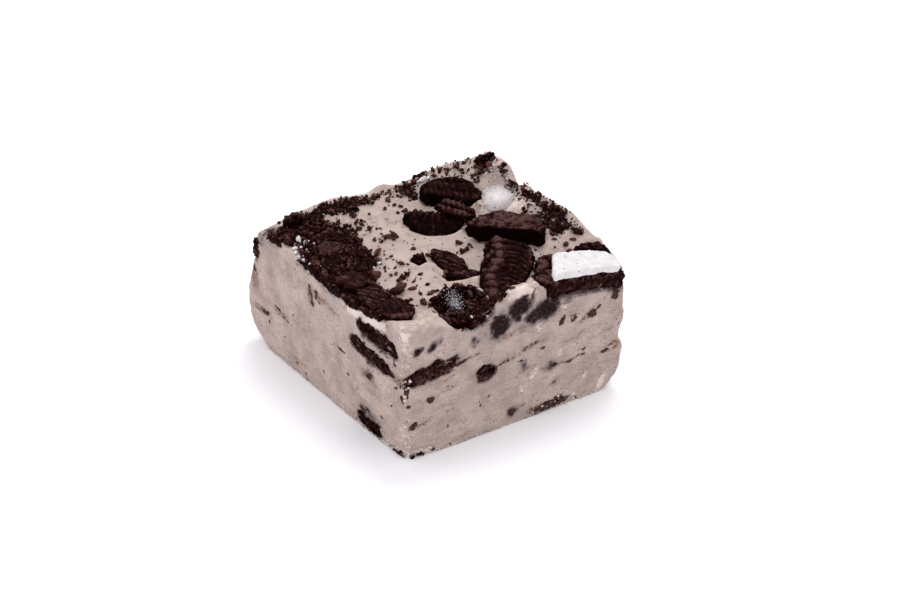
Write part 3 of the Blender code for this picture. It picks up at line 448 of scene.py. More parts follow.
def film_of(along, height, marks):
    """How strongly the dark bits show through the fudge."""
    film = np.zeros(len(along))
    for mark in marks:
        film = np.maximum(film, mark[5] * smooth_step(-ellipse_reach(along, height, mark), -1.6, 0.0))
    return film


def ragged_plane(points, seed):
    """Shifts of the two coordinates of a cut face that make the outlines of its bits uneven."""
    first = 0.5 * fractal(points, 1.7, seed, 3, 0.55)
    second = 0.4 * fractal(points, 1.7, seed + 9, 3, 0.55)
    return first, second


def solid_of(node):
    """Search tree and corners of a node of the model, in block millimetres."""
    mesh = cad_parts[node].data
    corners = unplace([vertex.co[:] for vertex in mesh.vertices])
    faces = [tuple(polygon.vertices) for polygon in mesh.polygons]
    tree = BVHTree.FromPolygons([Vector(corner) for corner in corners], faces)
    return tree, corners.min(0), corners.max(0)


def clear_of(solid, points, chosen, margin):
    """Distance of the chosen points from a node, negative inside it, margin where it is farther."""
    tree, low, high = solid
    away = np.full(len(points), margin)
    near = chosen & np.all((points > low - margin) & (points < high + margin), axis=1)
    for number in np.nonzero(near)[0]:
        point = Vector(points[number])
        spot, normal, _, distance = tree.find_nearest(point, margin)
        if spot is not None:
            away[number] = distance if (point - spot).dot(normal) > 0.0 else -distance
    return away


def make(name, points, faces, surface, attributes, smooth=True):
    """Object from block millimetres, riding on the part's one body."""
    mesh = bpy.data.meshes.new(name)
    mesh.from_pydata(place(points).tolist(), [], [tuple(face) for face in faces])
    mesh.materials.append(surface)
    for key, values in attributes.items():
        layer = mesh.attributes.new(key, "FLOAT", "POINT")
        layer.data.foreach_set("value", np.asarray(values, np.float32))
    if smooth:
        mesh.shade_smooth()
    made = bpy.data.objects.new(name, mesh)
    bpy.context.scene.collection.objects.link(made)
    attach(made, "root")
    return made


def arrays(mesh):
    """Points in block millimetres, normals and faces of a mesh in the row frame."""
    points = np.empty(len(mesh.vertices) * 3)
    mesh.vertices.foreach_get("co", points)
    normals = np.empty(len(mesh.vertices) * 3)
    mesh.vertex_normals.foreach_get("vector", normals)
    faces = [tuple(polygon.vertices) for polygon in mesh.polygons]
    return unplace(points.reshape(-1, 3)), normals.reshape(-1, 3), faces


def dense(node, voxel):
    """Dense even mesh over the form of a node of the model."""
    holder = bpy.data.objects.new("holder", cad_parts[node].data.copy())
    bpy.context.scene.collection.objects.link(holder)
    change = holder.modifiers.new("even", "REMESH")
    change.mode = "VOXEL"
    change.voxel_size = voxel * MM
    bpy.context.view_layer.update()
    mesh = bpy.data.meshes.new_from_object(holder.evaluated_get(bpy.context.evaluated_depsgraph_get()))
    found = arrays(mesh)
    bpy.data.objects.remove(holder)
    bpy.data.meshes.remove(mesh)
    return found


class Tree:
    """Short way to write a material's nodes; lengths in millimetres."""

    def __init__(self, name):
        self.material = bpy.data.materials.new(name)
        self.material.use_nodes = True
        self.tree = self.material.node_tree
        self.shader = self.tree.nodes["Principled BSDF"]
        coordinates = self.tree.nodes.new("ShaderNodeTexCoord")
        inputs = {0: coordinates.outputs["Object"], "Scale": 1.0 / MM}
        self.position = self.node("ShaderNodeVectorMath", {"operation": "SCALE"}, inputs).outputs[0]

    def node(self, kind, settings=None, inputs=None):
        made = self.tree.nodes.new(kind)
        for key, value in (settings or {}).items():
            setattr(made, key, value)
        for key, value in (inputs or {}).items():
            self.feed(made.inputs[key], value)
        return made

    def feed(self, socket, value):
        if isinstance(value, bpy.types.NodeSocket):
            self.tree.links.new(value, socket)
        elif isinstance(value, (tuple, Color)) and len(value) == 3 and socket.type == "RGBA":
            socket.default_value = (*value, 1.0)
        else:
            socket.default_value = value

    def noise(self, length, detail=3.0, rough=0.55, stretch=(1.0, 1.0, 1.0), warp=0.0):
        mapped = self.node("ShaderNodeMapping", {}, {"Vector": self.position, "Scale": Vector(stretch)})
        inputs = {"Vector": mapped.outputs[0], "Scale": 1.0 / length}
        inputs |= {"Detail": detail, "Roughness": rough, "Distortion": warp}
        return self.node("ShaderNodeTexNoise", {}, inputs).outputs["Fac"]

    def cells(self, length):
        inputs = {"Vector": self.position, "Scale": 1.0 / length}
        return self.node("ShaderNodeTexVoronoi", {}, inputs).outputs["Distance"]

    def math(self, operation, first, second):
        return self.node("ShaderNodeMath", {"operation": operation}, {0: first, 1: second}).outputs[0]

    def times(self, first, second):
        return self.math("MULTIPLY", first, second)

    def plus(self, first, second):
        return self.math("ADD", first, second)

    def range(self, value, low, high, to_low=0.0, to_high=1.0, kind="SMOOTHSTEP"):
        inputs = {"Value": value, "From Min": low, "From Max": high, "To Min": to_low, "To Max": to_high}
        return self.node("ShaderNodeMapRange", {"interpolation_type": kind}, inputs).outputs["Result"]

    def mix(self, share, first, second):
        made = self.node("ShaderNodeMix", {"data_type": "RGBA"})
        self.feed(made.inputs[0], share)
        self.feed(made.inputs[6], first)
        self.feed(made.inputs[7], second)
        return made.outputs[2]

    def attribute(self, name):
        return self.node("ShaderNodeAttribute", {"attribute_name": name}).outputs["Fac"]

    def bump(self, height, distance, strength=1.0, normal=None):
        inputs = {"Height": height, "Distance": distance * MM, "Strength": strength}
        if normal is not None:
            inputs["Normal"] = normal
        return self.node("ShaderNodeBump", {}, inputs).outputs["Normal"]

    def set(self, **values):
        for key, value in values.items():
            self.feed(self.shader.inputs[key.replace("_", " ")], value)


def fudge_material(look):
    """Pale, slightly see-through fudge with specks, drag streaks, smears and dark bits below the surface."""
    t = Tree("fudge")
    light, deep = look.fudge_light, look.fudge_deep
    side = t.attribute("side")
    ragged = t.math("SUBTRACT", t.noise(0.7, 5.0, 0.65, (0.75, 0.75, 1.0)), 0.5)
    texture = t.range(side, 0.0, 1.0, 0.35, 1.0)
    base = t.mix(t.range(t.noise(5.0, 4.0, 0.6), 0.36, 0.64), deep, light)
    base = t.mix(t.times(t.range(t.noise(1.3, 4.0, 0.65), 0.42, 0.68), 0.6), base, light)
    base = t.mix(t.times(t.range(t.noise(0.6, 3.0, 0.65), 0.46, 0.66), t.times(texture, 0.4)), base, deep)
    streak = t.noise(0.5, 4.0, 0.65, (0.1, 0.1, 1.0), 0.4)
    base = t.mix(t.times(t.range(streak, 0.5, 0.72), t.times(side, 0.3)), base, deep)
    warm = t.times(t.range(t.noise(2.6, 4.0, 0.7, (0.45, 0.45, 1.0)), 0.5, 0.75), t.times(texture, 0.22))
    base = t.mix(warm, base, look.stain)
    # Painted shade: the top is mixed a fifth of the way to the deep colour, the sides not
    base = t.mix(t.range(side, 1.0, 0.0, 0.0, 0.2), base, deep)
    veil = t.times(t.range(t.noise(3.4, 4.0, 0.6, (0.4, 0.4, 1.0)), 0.47, 0.68), t.times(side, 0.3))
    base = t.mix(veil, base, look.veil)
    fleck = t.noise(0.3, 2.0, 0.5, (0.7, 0.7, 1.1))
    base = t.mix(t.times(t.range(fleck, 0.6, 0.72, 0.0, 0.7), texture), base, look.stain)
    base = t.mix(t.times(t.range(fleck, 0.36, 0.28, 0.0, 0.5), texture), base, look.fudge_edge)
    spots = t.math("SUBTRACT", t.noise(0.45, 3.0, 0.6), 0.5)
    stain = t.plus(t.attribute("stain"), t.times(ragged, 2.2))
    base = t.mix(t.range(stain, -0.5, 0.7, 0.0, 0.55), base, look.stain)
    dotted = t.plus(t.range(t.attribute("stain"), -0.5, 0.5), t.times(spots, 3.2))
    base = t.mix(t.range(dotted, 0.95, 1.25, 0.0, 0.85), base, look.speck)
    dashes = t.noise(0.45, 2.0, 0.5, (0.3, 0.3, 1.3), 0.6)
    base = t.mix(t.times(t.range(dashes, 0.65, 0.7), t.times(side, 0.55)), base, look.stain)
    speck = t.times(t.range(t.cells(1.0), 0.2, 0.1), t.range(t.noise(3.0, 2.0), 0.45, 0.6))
    base = t.mix(t.times(speck, 0.85), base, look.speck)
    film = t.plus(t.attribute("film"), t.times(ragged, t.range(t.attribute("film"), 0.0, 0.4, 0.0, 0.95)))
    base = t.mix(t.range(film, 0.0, 0.8, 0.0, 0.85), base, look.below)
    base = t.mix(t.range(film, 0.4, 1.05, 0.0, 0.97), base, look.below_deep)
    under = t.plus(t.range(t.attribute("film"), 0.3, 0.9), t.times(spots, 3.0))
    base = t.mix(t.range(under, 1.15, 1.45, 0.0, 0.6), base, look.wafer_dry)
    blackest = t.times(t.range(under, 0.9, 0.6, 0.0, 0.9), t.range(t.attribute("film"), 0.7, 1.1))
    base = t.mix(blackest, base, look.wafer_deep)
    pale = t.plus(t.attribute("pale"), t.times(ragged, 1.9))
    base = t.mix(t.range(pale, 0.25, 0.95, 0.0, 0.9), base, look.fudge_edge)
    base = t.mix(t.range(pale, 1.1, 1.9, 0.0, 0.9), base, look.cream_shade)
    broken = t.plus(t.attribute("sharp"), t.times(ragged, 1.1))
    dark = t.range(broken, -0.06, 0.1)
    # Crumb bed under the crumbs: wafer-coloured crumb dust, near black in patches as painted shade in the gaps between
    # the crumbs
    crust = t.plus(t.attribute("crust"), t.times(ragged, 1.5))
    bed = t.range(crust, 0.6, 0.78)
    patchy = t.noise(0.4, 4.0, 0.7)
    wafer = t.mix(t.range(patchy, 0.35, 0.62), look.wafer_mid, look.wafer_dry)
    wafer = t.mix(bed, wafer, t.mix(t.range(patchy, 0.4, 0.65), look.wafer_deep, look.wafer_mid))
    covered = t.math("MAXIMUM", dark, bed)
    t.set(Base_Color=t.mix(covered, base, wafer))
    t.set(Roughness=t.range(t.noise(1.2, 3.0), 0.3, 0.7, 0.4, 0.62, "LINEAR"))
    t.set(Specular_IOR_Level=0.2, IOR=1.15, Subsurface_Weight=look.see_through)
    t.set(Subsurface_Radius=(1.0, 0.62, 0.45), Subsurface_Scale=1.2 * MM)
    height = t.plus(t.times(streak, side), t.times(t.noise(0.4, 4.0, 0.65), texture))
    normal = t.bump(height, 0.16)
    rough = t.plus(t.noise(0.5, 4.0, 0.7), t.cells(0.6))
    normal = t.bump(t.times(rough, covered), 0.35, 1.0, normal)
    t.set(Normal=normal)
    return t.material


def wafer_material(look, name, dry, grain=0.3):
    """Baked dark wafer, redder and paler with its tone and with the highlight painted on the crests of its relief,
    darker with the shade painted in its grooves and on its steep sides, paler and greyer where it is broken; frost is
    fine sugar.
    """
    t = Tree(name)
    ragged = t.math("SUBTRACT", t.noise(0.5, 5.0, 0.75), 0.5)
    # The piece's tone with painted highlight and painted shade in it; the dry colour at its top end is partly painted
    # highlight
    tone_and_light = t.plus(t.attribute("peak"), t.times(ragged, 3.0))
    colour = t.mix(t.range(tone_and_light, -0.1, 0.75), look.wafer_deep, look.wafer_mid)
    colour = t.mix(t.range(tone_and_light, 0.7, 1.6), colour, dry)
    # Pale grains, shown where the painted light runs high, so partly painted glints
    sparks = t.times(t.range(t.cells(0.5), 0.2, 0.08), t.range(tone_and_light, 0.55, 1.4, 0.0, 0.8))
    colour = t.mix(sparks, colour, look.wafer_spark)
    frost = t.plus(t.attribute("frost"), t.times(ragged, 1.8))
    colour = t.mix(t.range(frost, 0.2, 1.0, 0.0, 0.85), colour, look.frost)
    t.set(Base_Color=colour, Roughness=t.range(tone_and_light, 0.0, 1.0, 0.45, 0.8, "LINEAR"), Specular_IOR_Level=0.3, IOR=1.08)
    height = t.plus(t.noise(0.3, 4.0, 0.75), t.times(t.cells(0.45), 0.8))
    t.set(Normal=t.bump(height, grain))
    return t.material


def cream_material(look):
    """White sugar cream, dry, with a fine grain."""
    t = Tree("cream")
    tone = t.range(t.noise(1.4, 4.0), 0.3, 0.7)
    colour = t.mix(tone, look.cream_shade, look.cream)
    # Grey: on the lump, painted shade on its right and back, and its rim running out in the fudge
    grey = t.plus(t.attribute("grey"), t.times(t.math("SUBTRACT", t.noise(0.9, 4.0), 0.5), 0.9))
    colour = t.mix(t.range(grey, 0.0, 1.0, 0.0, 0.95), colour, look.cream_rim_and_shade)
    dust = t.times(t.range(t.cells(1.7), 0.12, 0.06), 0.9)
    colour = t.mix(dust, colour, look.speck)
    t.set(Base_Color=colour, Roughness=0.7, Specular_IOR_Level=0.2, Subsurface_Weight=0.35)
    t.set(Subsurface_Radius=(1.0, 0.9, 0.85), Subsurface_Scale=0.8 * MM)
    t.set(Normal=t.bump(t.plus(t.noise(0.2, 4.0, 0.7), t.times(t.cells(0.28), 0.6)), 0.08))
    return t.material


def fudge_crumb_material(look):
    """Small pale crumbs of fudge, some of them brown, paler on their upper sides and bulges as painted light."""
    t = Tree("fudge_crumb")
    colour = t.mix(t.range(t.attribute("peak"), 0.2, 0.9), look.fudge_deep, look.fudge_edge)
    brown = t.range(t.noise(1.1, 2.0), 0.6, 0.64)
    t.set(Base_Color=t.mix(brown, colour, look.wafer_dry), Roughness=0.6, Specular_IOR_Level=0.2)
    t.set(Normal=t.bump(t.noise(0.3, 4.0, 0.65), 0.1))
    return t.material


class FudgeSizes(PropertyGroup):
    """How finely the pieces are made."""

    block_step: FloatProperty(name="Block step", description="Spacing of the block's points, in mm", default=0.36)
    edge_radius: FloatProperty(name="Edge radius", description="Rounding of the cut edges, in mm", default=0.6)
    wafer_voxel: FloatProperty(name="Wafer step", description="Spacing of the wafers' points, in mm", default=0.16)
    section_voxel: FloatProperty(name="Section step", description="Spacing of their points, in mm", default=0.22)
    crumbs_fine: IntProperty(name="Fine crumbs", description="Crumbs tried under 0.65 mm", default=15000)
    crumbs_middle: IntProperty(name="Middle crumbs", description="Crumbs tried of 0.65 to 1.35 mm", default=4200)
    crumbs_coarse: IntProperty(name="Coarse crumbs", description="Crumbs tried over 1.35 mm", default=200)


def colour(name, value, description):
    return FloatVectorProperty(
        name=name, description=description, subtype="COLOR", size=3, min=0.0, max=1.0, default=value
    )


class FudgeLook(PropertyGroup):
    """Colours, linear."""

    fudge_light: colour("Fudge, light", (0.47, 0.378, 0.345), "Lightest of the cut fudge")
    fudge_deep: colour("Fudge, deep", (0.335, 0.262, 0.238), "Deepest of the cut fudge")
    # Also the colour of the painted highlight on the mound crests and the cut edges
    fudge_edge: colour("Fudge, scraped", (0.66, 0.55, 0.51), "Scraped edges and chips")
    veil: colour("Grey veil", (0.27, 0.232, 0.235), "Greyer fudge of the cut faces")
    below: colour("Below the surface", (0.11, 0.08, 0.088), "Wafer seen through a film of fudge")
    below_deep: colour("Just below the surface", (0.013, 0.0055, 0.0065), "Wafer right under the surface")
    stain: colour("Smear", (0.235, 0.125, 0.082), "Brown smears and drag dashes")
    speck: colour("Speck", (0.07, 0.03, 0.02), "Fine specks")
    wafer_deep: colour("Wafer, baked", (0.0045, 0.0006, 0.0006), "Smooth baked wafer")
    wafer_mid: colour("Wafer, rubbed", (0.026, 0.0075, 0.0072), "Rubbed wafer")
    # Also the colour of the painted highlight on the wafer pieces' crests
    wafer_dry: colour("Wafer, broken", (0.095, 0.048, 0.045), "Broken, dry wafer")
    # Also the colour of the painted light on the crumbs' upper sides and bulges
    crumb_dry: colour("Crumb, dry", (0.105, 0.045, 0.037), "Dry side of a crumb")
    frost: colour("Sugar frost", (0.38, 0.36, 0.42), "Fine sugar on a wafer piece")
    # Pale grains, partly painted glints where the wafer's painted light runs high
    wafer_spark: colour("Wafer, grains", (0.26, 0.17, 0.155), "Pale grains in the wafer")
    cream: colour("Cream", (0.7, 0.675, 0.685), "Lightest of the cream")
    cream_shade: colour("Cream, shade", (0.6, 0.575, 0.59), "Deepest of the cream")
    # Also the painted shade on the lump's right and back
    cream_rim_and_shade: colour("Cream, rim", (0.4, 0.34, 0.34), "Where the lump of cream runs out in the fudge")
    see_through: FloatProperty(
        name="Translucence", description="Share of light that passes below the fudge's surface", default=0.35
    )


def rib(phase, sharp=0.8):
    """Rounded ribs of height 1, one for each unit of phase."""
    return np.abs(np.sin(math.pi * phase)) ** sharp


def relief_of(kind, points):
    """Pattern pressed in a wafer piece's face, in millimetres."""
    turn = math.radians(VIEW_ACROSS)
    centre = (points.min(0) + points.max(0)) / 2.0
    dx, dy = points[:, 0] - centre[0], points[:, 1] - centre[1]
    across = dx * math.cos(turn) + dy * math.sin(turn)
    away = -dx * math.sin(turn) + dy * math.cos(turn)
    drift = 0.3 * fractal(points, 2.6, 91)
    worn = 0.75 + 0.45 * fractal(points, 2.2, 92)
    if kind == "seam":
        middle = -1.6 + 0.12 * away + 0.5 * np.sin(away * 0.55)
        offset = across - middle
        spine = 0.62 * np.exp(-((offset / 1.0) ** 2)) * (0.3 + 0.7 * rib((away + 0.9 * drift) / 2.2 + 0.2, 0.6))
        right = smooth_step(offset, 0.8, 1.5) * (1.0 - smooth_step(across, 4.2, 4.7))
        pitch = np.where(away > 3.4, 2.0, 1.35)
        curved = away - 0.55 * offset + 0.13 * offset ** 2 + 0.9 * drift
        ribs = 0.62 * worn * (rib(curved / pitch, 0.6) - 0.55) * right
        knobs = rib((away + 0.5 * offset + drift) / 1.9, 0.8) * rib((offset - 0.35 * away + drift) / 1.9, 0.8)
        lumps = 0.8 * worn * (knobs - 0.35) * (1.0 - smooth_step(offset, -1.2, -0.6))
        rim = 0.4 * np.exp(-(((across - 5.0 + 0.2 * drift) / 0.5) ** 2))
        return spine + ribs + lumps + rim
    if kind == "fan":
        high = smooth_step(away, -2.2, 2.6)
        flutes = rib((across + 0.1 * across * away + drift * 0.5) / 1.25, 0.6) - 0.5
        return 0.7 * (0.2 + 0.8 * high) * worn * flutes + 0.2 * high
    if kind == "lobes":
        lobe = rib((away + 0.34 * across + drift * 0.6) / 2.0, 0.7)
        return 1.0 * worn * (lobe - 0.6) + 0.3 * (rib((across + drift) / 0.95) - 0.5) * worn
    if kind == "long_ridges":
        hump = 0.2 * (1.0 - (away / 4.5) ** 2)
        lobe = rib((away + 0.1 * across + 2.0 * drift) / 2.6, 0.9)
        return hump + 0.35 * worn * (lobe - 0.6) + 0.3 * worn * (rib((across + 0.2 * away + drift) / 1.2) - 0.5)
    if kind == "wedge":
        return 0.5 * worn * (rib((away + 0.5 * across + 1.6 * drift) / 1.3) - 0.5)
    if kind == "rim":
        return 0.26 * worn * (rib((across + 0.35 * away + drift) / 1.2) - 0.5) + 0.3 * smooth_step(-away, 1.2, 2.6)
    if kind == "slab":
        return 0.2 * fractal(points, 0.8, 93, 3, 0.7) + 0.1 * fractal(points, 3.0, 94)
    if kind == "crumbly":
        pits = fractal(points, 0.85, 95, 3, 0.75)
        return 0.26 * pits - 0.28 * smooth_step(-pits, 0.1, 0.5)
    return 0.06 * fractal(points, 1.6, 97)


class FUDGE_OT_wafers(Operator):
    """Wafer pieces sunk in the top, with the sandwich's two wafers"""

    bl_idname = "fudge.wafers"
    bl_label = "Wafer pieces"

    def execute(self, context):
        sizes, look = context.scene.fudge_sizes, context.scene.fudge_look
        baked = wafer_material(look, "wafer_baked", look.wafer_dry)
        for index, (node, (kind, tone, rough)) in enumerate(WAFERS.items()):
            points, normals, faces = dense(node, sizes.wafer_voxel)
            facing = smooth_step(normals[:, 2], 0.25, 0.75)
            broken = rough * (1.0 - 0.5 * facing) if kind != "crumbly" else np.full(len(points), rough)
            coarse = fractal(points, 2.0, 100 + 7 * index)
            fine = fractal(points, 0.75, 140 + 7 * index, 3, 0.6)
            grit = fractal(points, 0.5, 180 + 7 * index, 2, 0.7)
            pattern = relief_of(kind, points) * facing
            outline = 0.45 * (1.0 - facing) * fractal(points, (3.2, 3.2, 6.0), 220 + 7 * index)
            offset = pattern + broken * (0.16 * coarse + 0.17 * fine) + 0.07 * grit + outline
            # The peak adds to the piece's tone a painted highlight on the crests of its relief, painted shade in its
            # grooves, and painted shade on its steep sides, deepest on the slab's
            shade = 2.2 if kind == "slab" else 0.6
            peak = tone + 2.6 * pattern + broken * 0.45 * fine + 0.35 * grit + 0.2 * coarse - shade * (1.0 - facing)
            frost = np.zeros(len(points))
            if node == "wafer_front_cluster":
                off = ((points - np.array(SUGAR_PATCH[:3])) / np.array([*SUGAR_PATCH[3:], 9.0])).T
                frost = 1.1 - np.hypot(np.hypot(off[0], off[1]), off[2])
                frost = np.clip(frost + 0.4 * coarse, -1.0, 1.0)
            attributes = {"peak": peak, "frost": frost}
            made = make(node + "_piece", points + normals * offset[:, None], faces, baked, attributes)
            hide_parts(node)
        return {"FINISHED"}


class FUDGE_OT_sections(Operator):
    """Wafer sections that show in the cut faces"""

    bl_idname = "fudge.sections"
    bl_label = "Wafer sections"

    def execute(self, context):
        sizes, look = context.scene.fudge_sizes, context.scene.fudge_look
        cut = wafer_material(look, "wafer_section", look.wafer_dry, 0.5)
        for index, node in enumerate(SECTIONS):
            points, normals, faces = dense(node, sizes.section_voxel)
            coarse = fractal(points, 1.8, 300 + 7 * index)
            fine = fractal(points, (0.9, 0.9, 0.5), 340 + 7 * index, 3, 0.6)
            offset = 0.1 * coarse + 0.24 * fine - (FILMED_SHRINK if node in FILMED else SECTION_SHRINK)
            peak = SECTION_TONE.get(node, 0.6) + 0.9 * fine + 0.2 * coarse
            attributes = {"peak": peak, "frost": np.full(len(points), NO_FROST)}
            points = points + normals * offset[:, None]
            if node in FILMED:
                points[:, 1] += FILM_THICKNESS
            points[:, 2] = np.maximum(points[:, 2], 0.0)
            made = make(node + "_piece", points, faces, cut, attributes)
            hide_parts(node)
        return {"FINISHED"}


class FUDGE_OT_cream(Operator):
    """Cream of the sandwich and the lump of cream"""

    bl_idname = "fudge.cream"
    bl_label = "Cream"

    def execute(self, context):
        sizes, look = context.scene.fudge_sizes, context.scene.fudge_look
        surface = cream_material(look)
        for index, node in enumerate(("sandwich_cream", "cream_lump")):
            points, normals, faces = dense(node, sizes.wafer_voxel)
            offset = 0.07 * fractal(points, 2.0, 500 + index) + 0.07 * fractal(points, 0.7, 510 + index, 3, 0.7)
            low, high = points.min(0), points.max(0)
            share = (points - low) / (high - low)
            out = np.linalg.norm(points - (low + high) / 2.0, axis=1) * 2.0 / np.linalg.norm((high - low)[:2])
            # Grey towards the lump's right and back is painted shade; the grey round its rim, where it runs out in the
            # fudge, is its own colour
            grey = 0.4 * share[:, 0] + 0.25 * share[:, 1] + 2.6 * out - 1.0
            if node == "sandwich_cream":
                grey = np.full(len(points), -0.5)
            points = points + normals * offset[:, None]
            if node == "cream_lump":
                level = top_height(points[:, 0], points[:, 1])
                points[:, 2] = np.minimum(points[:, 2], level + 0.55 * np.maximum(points[:, 2] - level, 0.0))
            made = make(node + "_piece", points, faces, surface, {"grey": grey})
            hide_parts(node)
        return {"FINISHED"}


def line(length, step, edge):
    """Grid positions along one side, finer at the edges."""
    inner = length - 2.0 * edge
    count = max(2, round(inner / step))
    near = np.array([0.0, 0.3, 0.65]) * edge
    return np.concatenate([near, edge + inner * np.arange(count + 1) / count, length - near[::-1]])


def block_shell(step, edge):
    """Points and faces of the block before its relief, with the side each point lies on."""
    xs, ys, zs = line(WIDTH, step, edge), line(DEPTH, step, edge), line(TOP_LEVEL, step, edge)
    index = -np.ones((len(xs), len(ys), len(zs)), int)
    surface = np.zeros(index.shape, bool)
    surface[:, :, -1] = True
    surface[[0, -1], :, :] = True
    surface[:, [0, -1], :] = True
    index[surface] = np.arange(surface.sum())
    i, j, k = np.nonzero(surface)
    grid = np.stack([xs[i], ys[j], zs[k]], 1)

    def sheet(a, b, c, d):
        return np.stack([index[a].ravel(), index[b].ravel(), index[c].ravel(), index[d].ravel()], 1)

    low, high = slice(None, -1), slice(1, None)
    faces = [
        sheet((low, low, -1), (high, low, -1), (high, high, -1), (low, high, -1)),
        sheet((low, 0, low), (high, 0, low), (high, 0, high), (low, 0, high)),
        sheet((high, -1, low), (low, -1, low), (low, -1, high), (high, -1, high)),
        sheet((0, high, low), (0, low, low), (0, low, high), (0, high, high)),
        sheet((-1, low, low), (-1, high, low), (-1, high, high), (-1, low, high)),
    ]
    faces = [tuple(face) for face in np.concatenate(faces).tolist()]
    ring = list(index[:-1, 0, 0]) + list(index[-1, :-1, 0]) + list(index[:0:-1, -1, 0]) + list(index[0, :0:-1, 0])
    faces.append(tuple(int(value) for value in reversed(ring)))
    return grid, faces


def block_form(grid, edge):
    """Carries the plain box to the block's form."""
    x, y, z = grid.T
    far = np.clip(y / DEPTH + x / WIDTH - 0.9, 0.0, 1.0)
    radius = edge + (BACK_CORNER_RADIUS - edge) * far
    limits = ((x, radius, WIDTH), (y, radius, DEPTH), (z, edge, TOP_LEVEL))
    inner = np.stack([np.clip(value, low, length - low) for value, low, length in limits], 1)
    scale = np.stack([radius, radius, np.full_like(radius, edge)], 1)
    off = (grid - inner) / scale
    reach = np.maximum(1.0, np.linalg.norm(off, axis=1))[:, None]
    x, y, z = (inner + off / reach * scale).T
    share = z / TOP_LEVEL
    right, back = inset_at(RIGHT_INSET, z), inset_at(BACK_INSET, z)
    along, deep = x / WIDTH, y / DEPTH
    foot = foot_inset(x, y, z)
    px = LEFT_X + x + foot - right * along ** 3
    py = FRONT_Y + y + foot - back * deep ** 3
    places = zip(px / WAVE_LENGTH, py / WAVE_LENGTH, z / WAVE_LENGTH)
    wave = np.array([noise.noise(Vector(place)) for place in places])
    px = px + SIDE_WAVE * wave * along ** 6
    py = py + SIDE_WAVE * wave * deep ** 6
    return np.stack([px, py, share * top_height(px, py)], 1), share


def parts_of(grid):
    """How far each point belongs to the top, left, front, right and back of the block, 0 to 1."""
    top = smooth_step(grid[:, 2], TOP_LEVEL - 1.2, TOP_LEVEL - 0.2)
    left = smooth_step(-grid[:, 0], -1.0, -0.2) * (1.0 - top)
    front = smooth_step(-grid[:, 1], -1.0, -0.2) * (1.0 - top)
    right = smooth_step(grid[:, 0], WIDTH - 1.0, WIDTH - 0.2) * (1.0 - top)
    back = smooth_step(grid[:, 1], DEPTH - 1.0, DEPTH - 0.2) * (1.0 - top)
    return top, left, front, right, back


def lip_of(points, top, solids):
    """Rise of the fudge round the wafer pieces, and its hollow below them."""
    reach = np.full(len(points), LIP_SEARCH)
    for node in WAFERS:
        reach = np.minimum(reach, clear_of(solids[node], points, top > 0.05, LIP_SEARCH))
    lip = LIP_RISE * np.exp(-(((reach - 0.8) / 0.75) ** 2)) * (0.8 + 0.8 * fractal(points, 2.5, 21))
    return lip - LIP_HOLLOW * smooth_step(-reach, -0.15, 0.4)


def carving_of(grid, points, solids):
    """How far the cut faces stand back for the wafer in them, and the dark rim round it, both 0 to 1."""
    carve, halo = np.zeros(len(points)), np.zeros(len(points))
    for zone, inward in ((grid[:, 0] < 1.0, (PROBE, 0.0, 0.0)), (grid[:, 1] < 1.0, (0.0, PROBE, 0.0))):
        for node, solid in solids.items():
            away = clear_of(solid, points + np.array(inward), zone, CARVE_SEARCH)
            if node == "sandwich_wafer":
                away = away + 1.5 * smooth_step(SANDWICH_FROM - points[:, 0], -1.2, 1.6) - 0.3
            edge_of = OUTSIDE if node in FILMED else (-SECTION_SHRINK if node in SECTIONS else 0.1)
            ragged = 0.2 if node == "sandwich_wafer" else 0.5
            rough_edge = ragged * fractal(points, (2.0, 2.0, 1.0), 57, 4, 0.7)
            carve = np.maximum(carve, smooth_step(edge_of - away + rough_edge, -0.1, 0.25))
            if node in FILMED:
                fade = 1.1 * smooth_step(rough_edge - away, -1.2, 0.8)
            else:
                fade = 0.75 * np.exp(-np.maximum(away - rough_edge, 0.0) / 0.3)
            halo = np.maximum(halo, np.where(away < 1.5, fade, 0.0))
    return carve, halo


def skin_shift(grid, points, share, parts, cover, carve, lip, corner_foot):
    """Movement of each point that turns the smooth block into cut, broken and poured faces."""
    top, left, front, right, back = parts
    streak = fractal(points, (9.0, 9.0, 0.75), 31, 3, 0.6)
    uneven = fractal(points, 4.0, 41)
    pitted = np.minimum(0.0, fractal(points, 1.1, 51) + 0.25)
    inwards = 0.14 * uneven + 0.07 * streak - 0.14 * pitted
    height = points[:, 2]
    rough_foot = (np.exp(-((height / 1.3) ** 2)) * 0.35 + corner_foot * 0.5) * fractal(points, 0.9, 61)
    rough_foot -= 0.35 * np.exp(-((height / 0.8) ** 2)) + 0.5 * corner_foot * np.exp(-((height / 1.6) ** 2))
    side = np.clip(left + front + right + back, 0.0, 1.0)
    chipped = 0.35 * smooth_step(share, 0.95, 1.0) * fractal(points, 1.1, 66) * side
    cut = np.where(top > 0.9, -1.0 * carve, inwards * -1.0 + rough_foot + chipped - 1.0 * carve)
    pan_side = inwards * 1.4 - rough_foot
    shift = np.zeros_like(points)
    shift[:, 0] = -smooth_step(-grid[:, 0], -1.0, -0.2) * cut - right * pan_side
    shift[:, 1] = -smooth_step(-grid[:, 1], -1.0, -0.2) * cut - back * pan_side
    shift[:, 2] = top * (0.12 * fractal(points, 3.2, 71) + 0.04 * fractal(points, 0.8, 75) + lip)
    shift[:, 2] += mound_rise(points[:, 0], points[:, 1]) * smooth_step(share, 0.85, 1.0)
    shift[:, 2] += top * smooth_step(cover, 0.3, 0.9) * (0.1 + 0.45 * fractal(points, 1.1, 81))
    held = smooth_step(height, 0.02, 0.35)
    shift[:, :2] *= (0.35 + 0.65 * held)[:, None]
    return shift


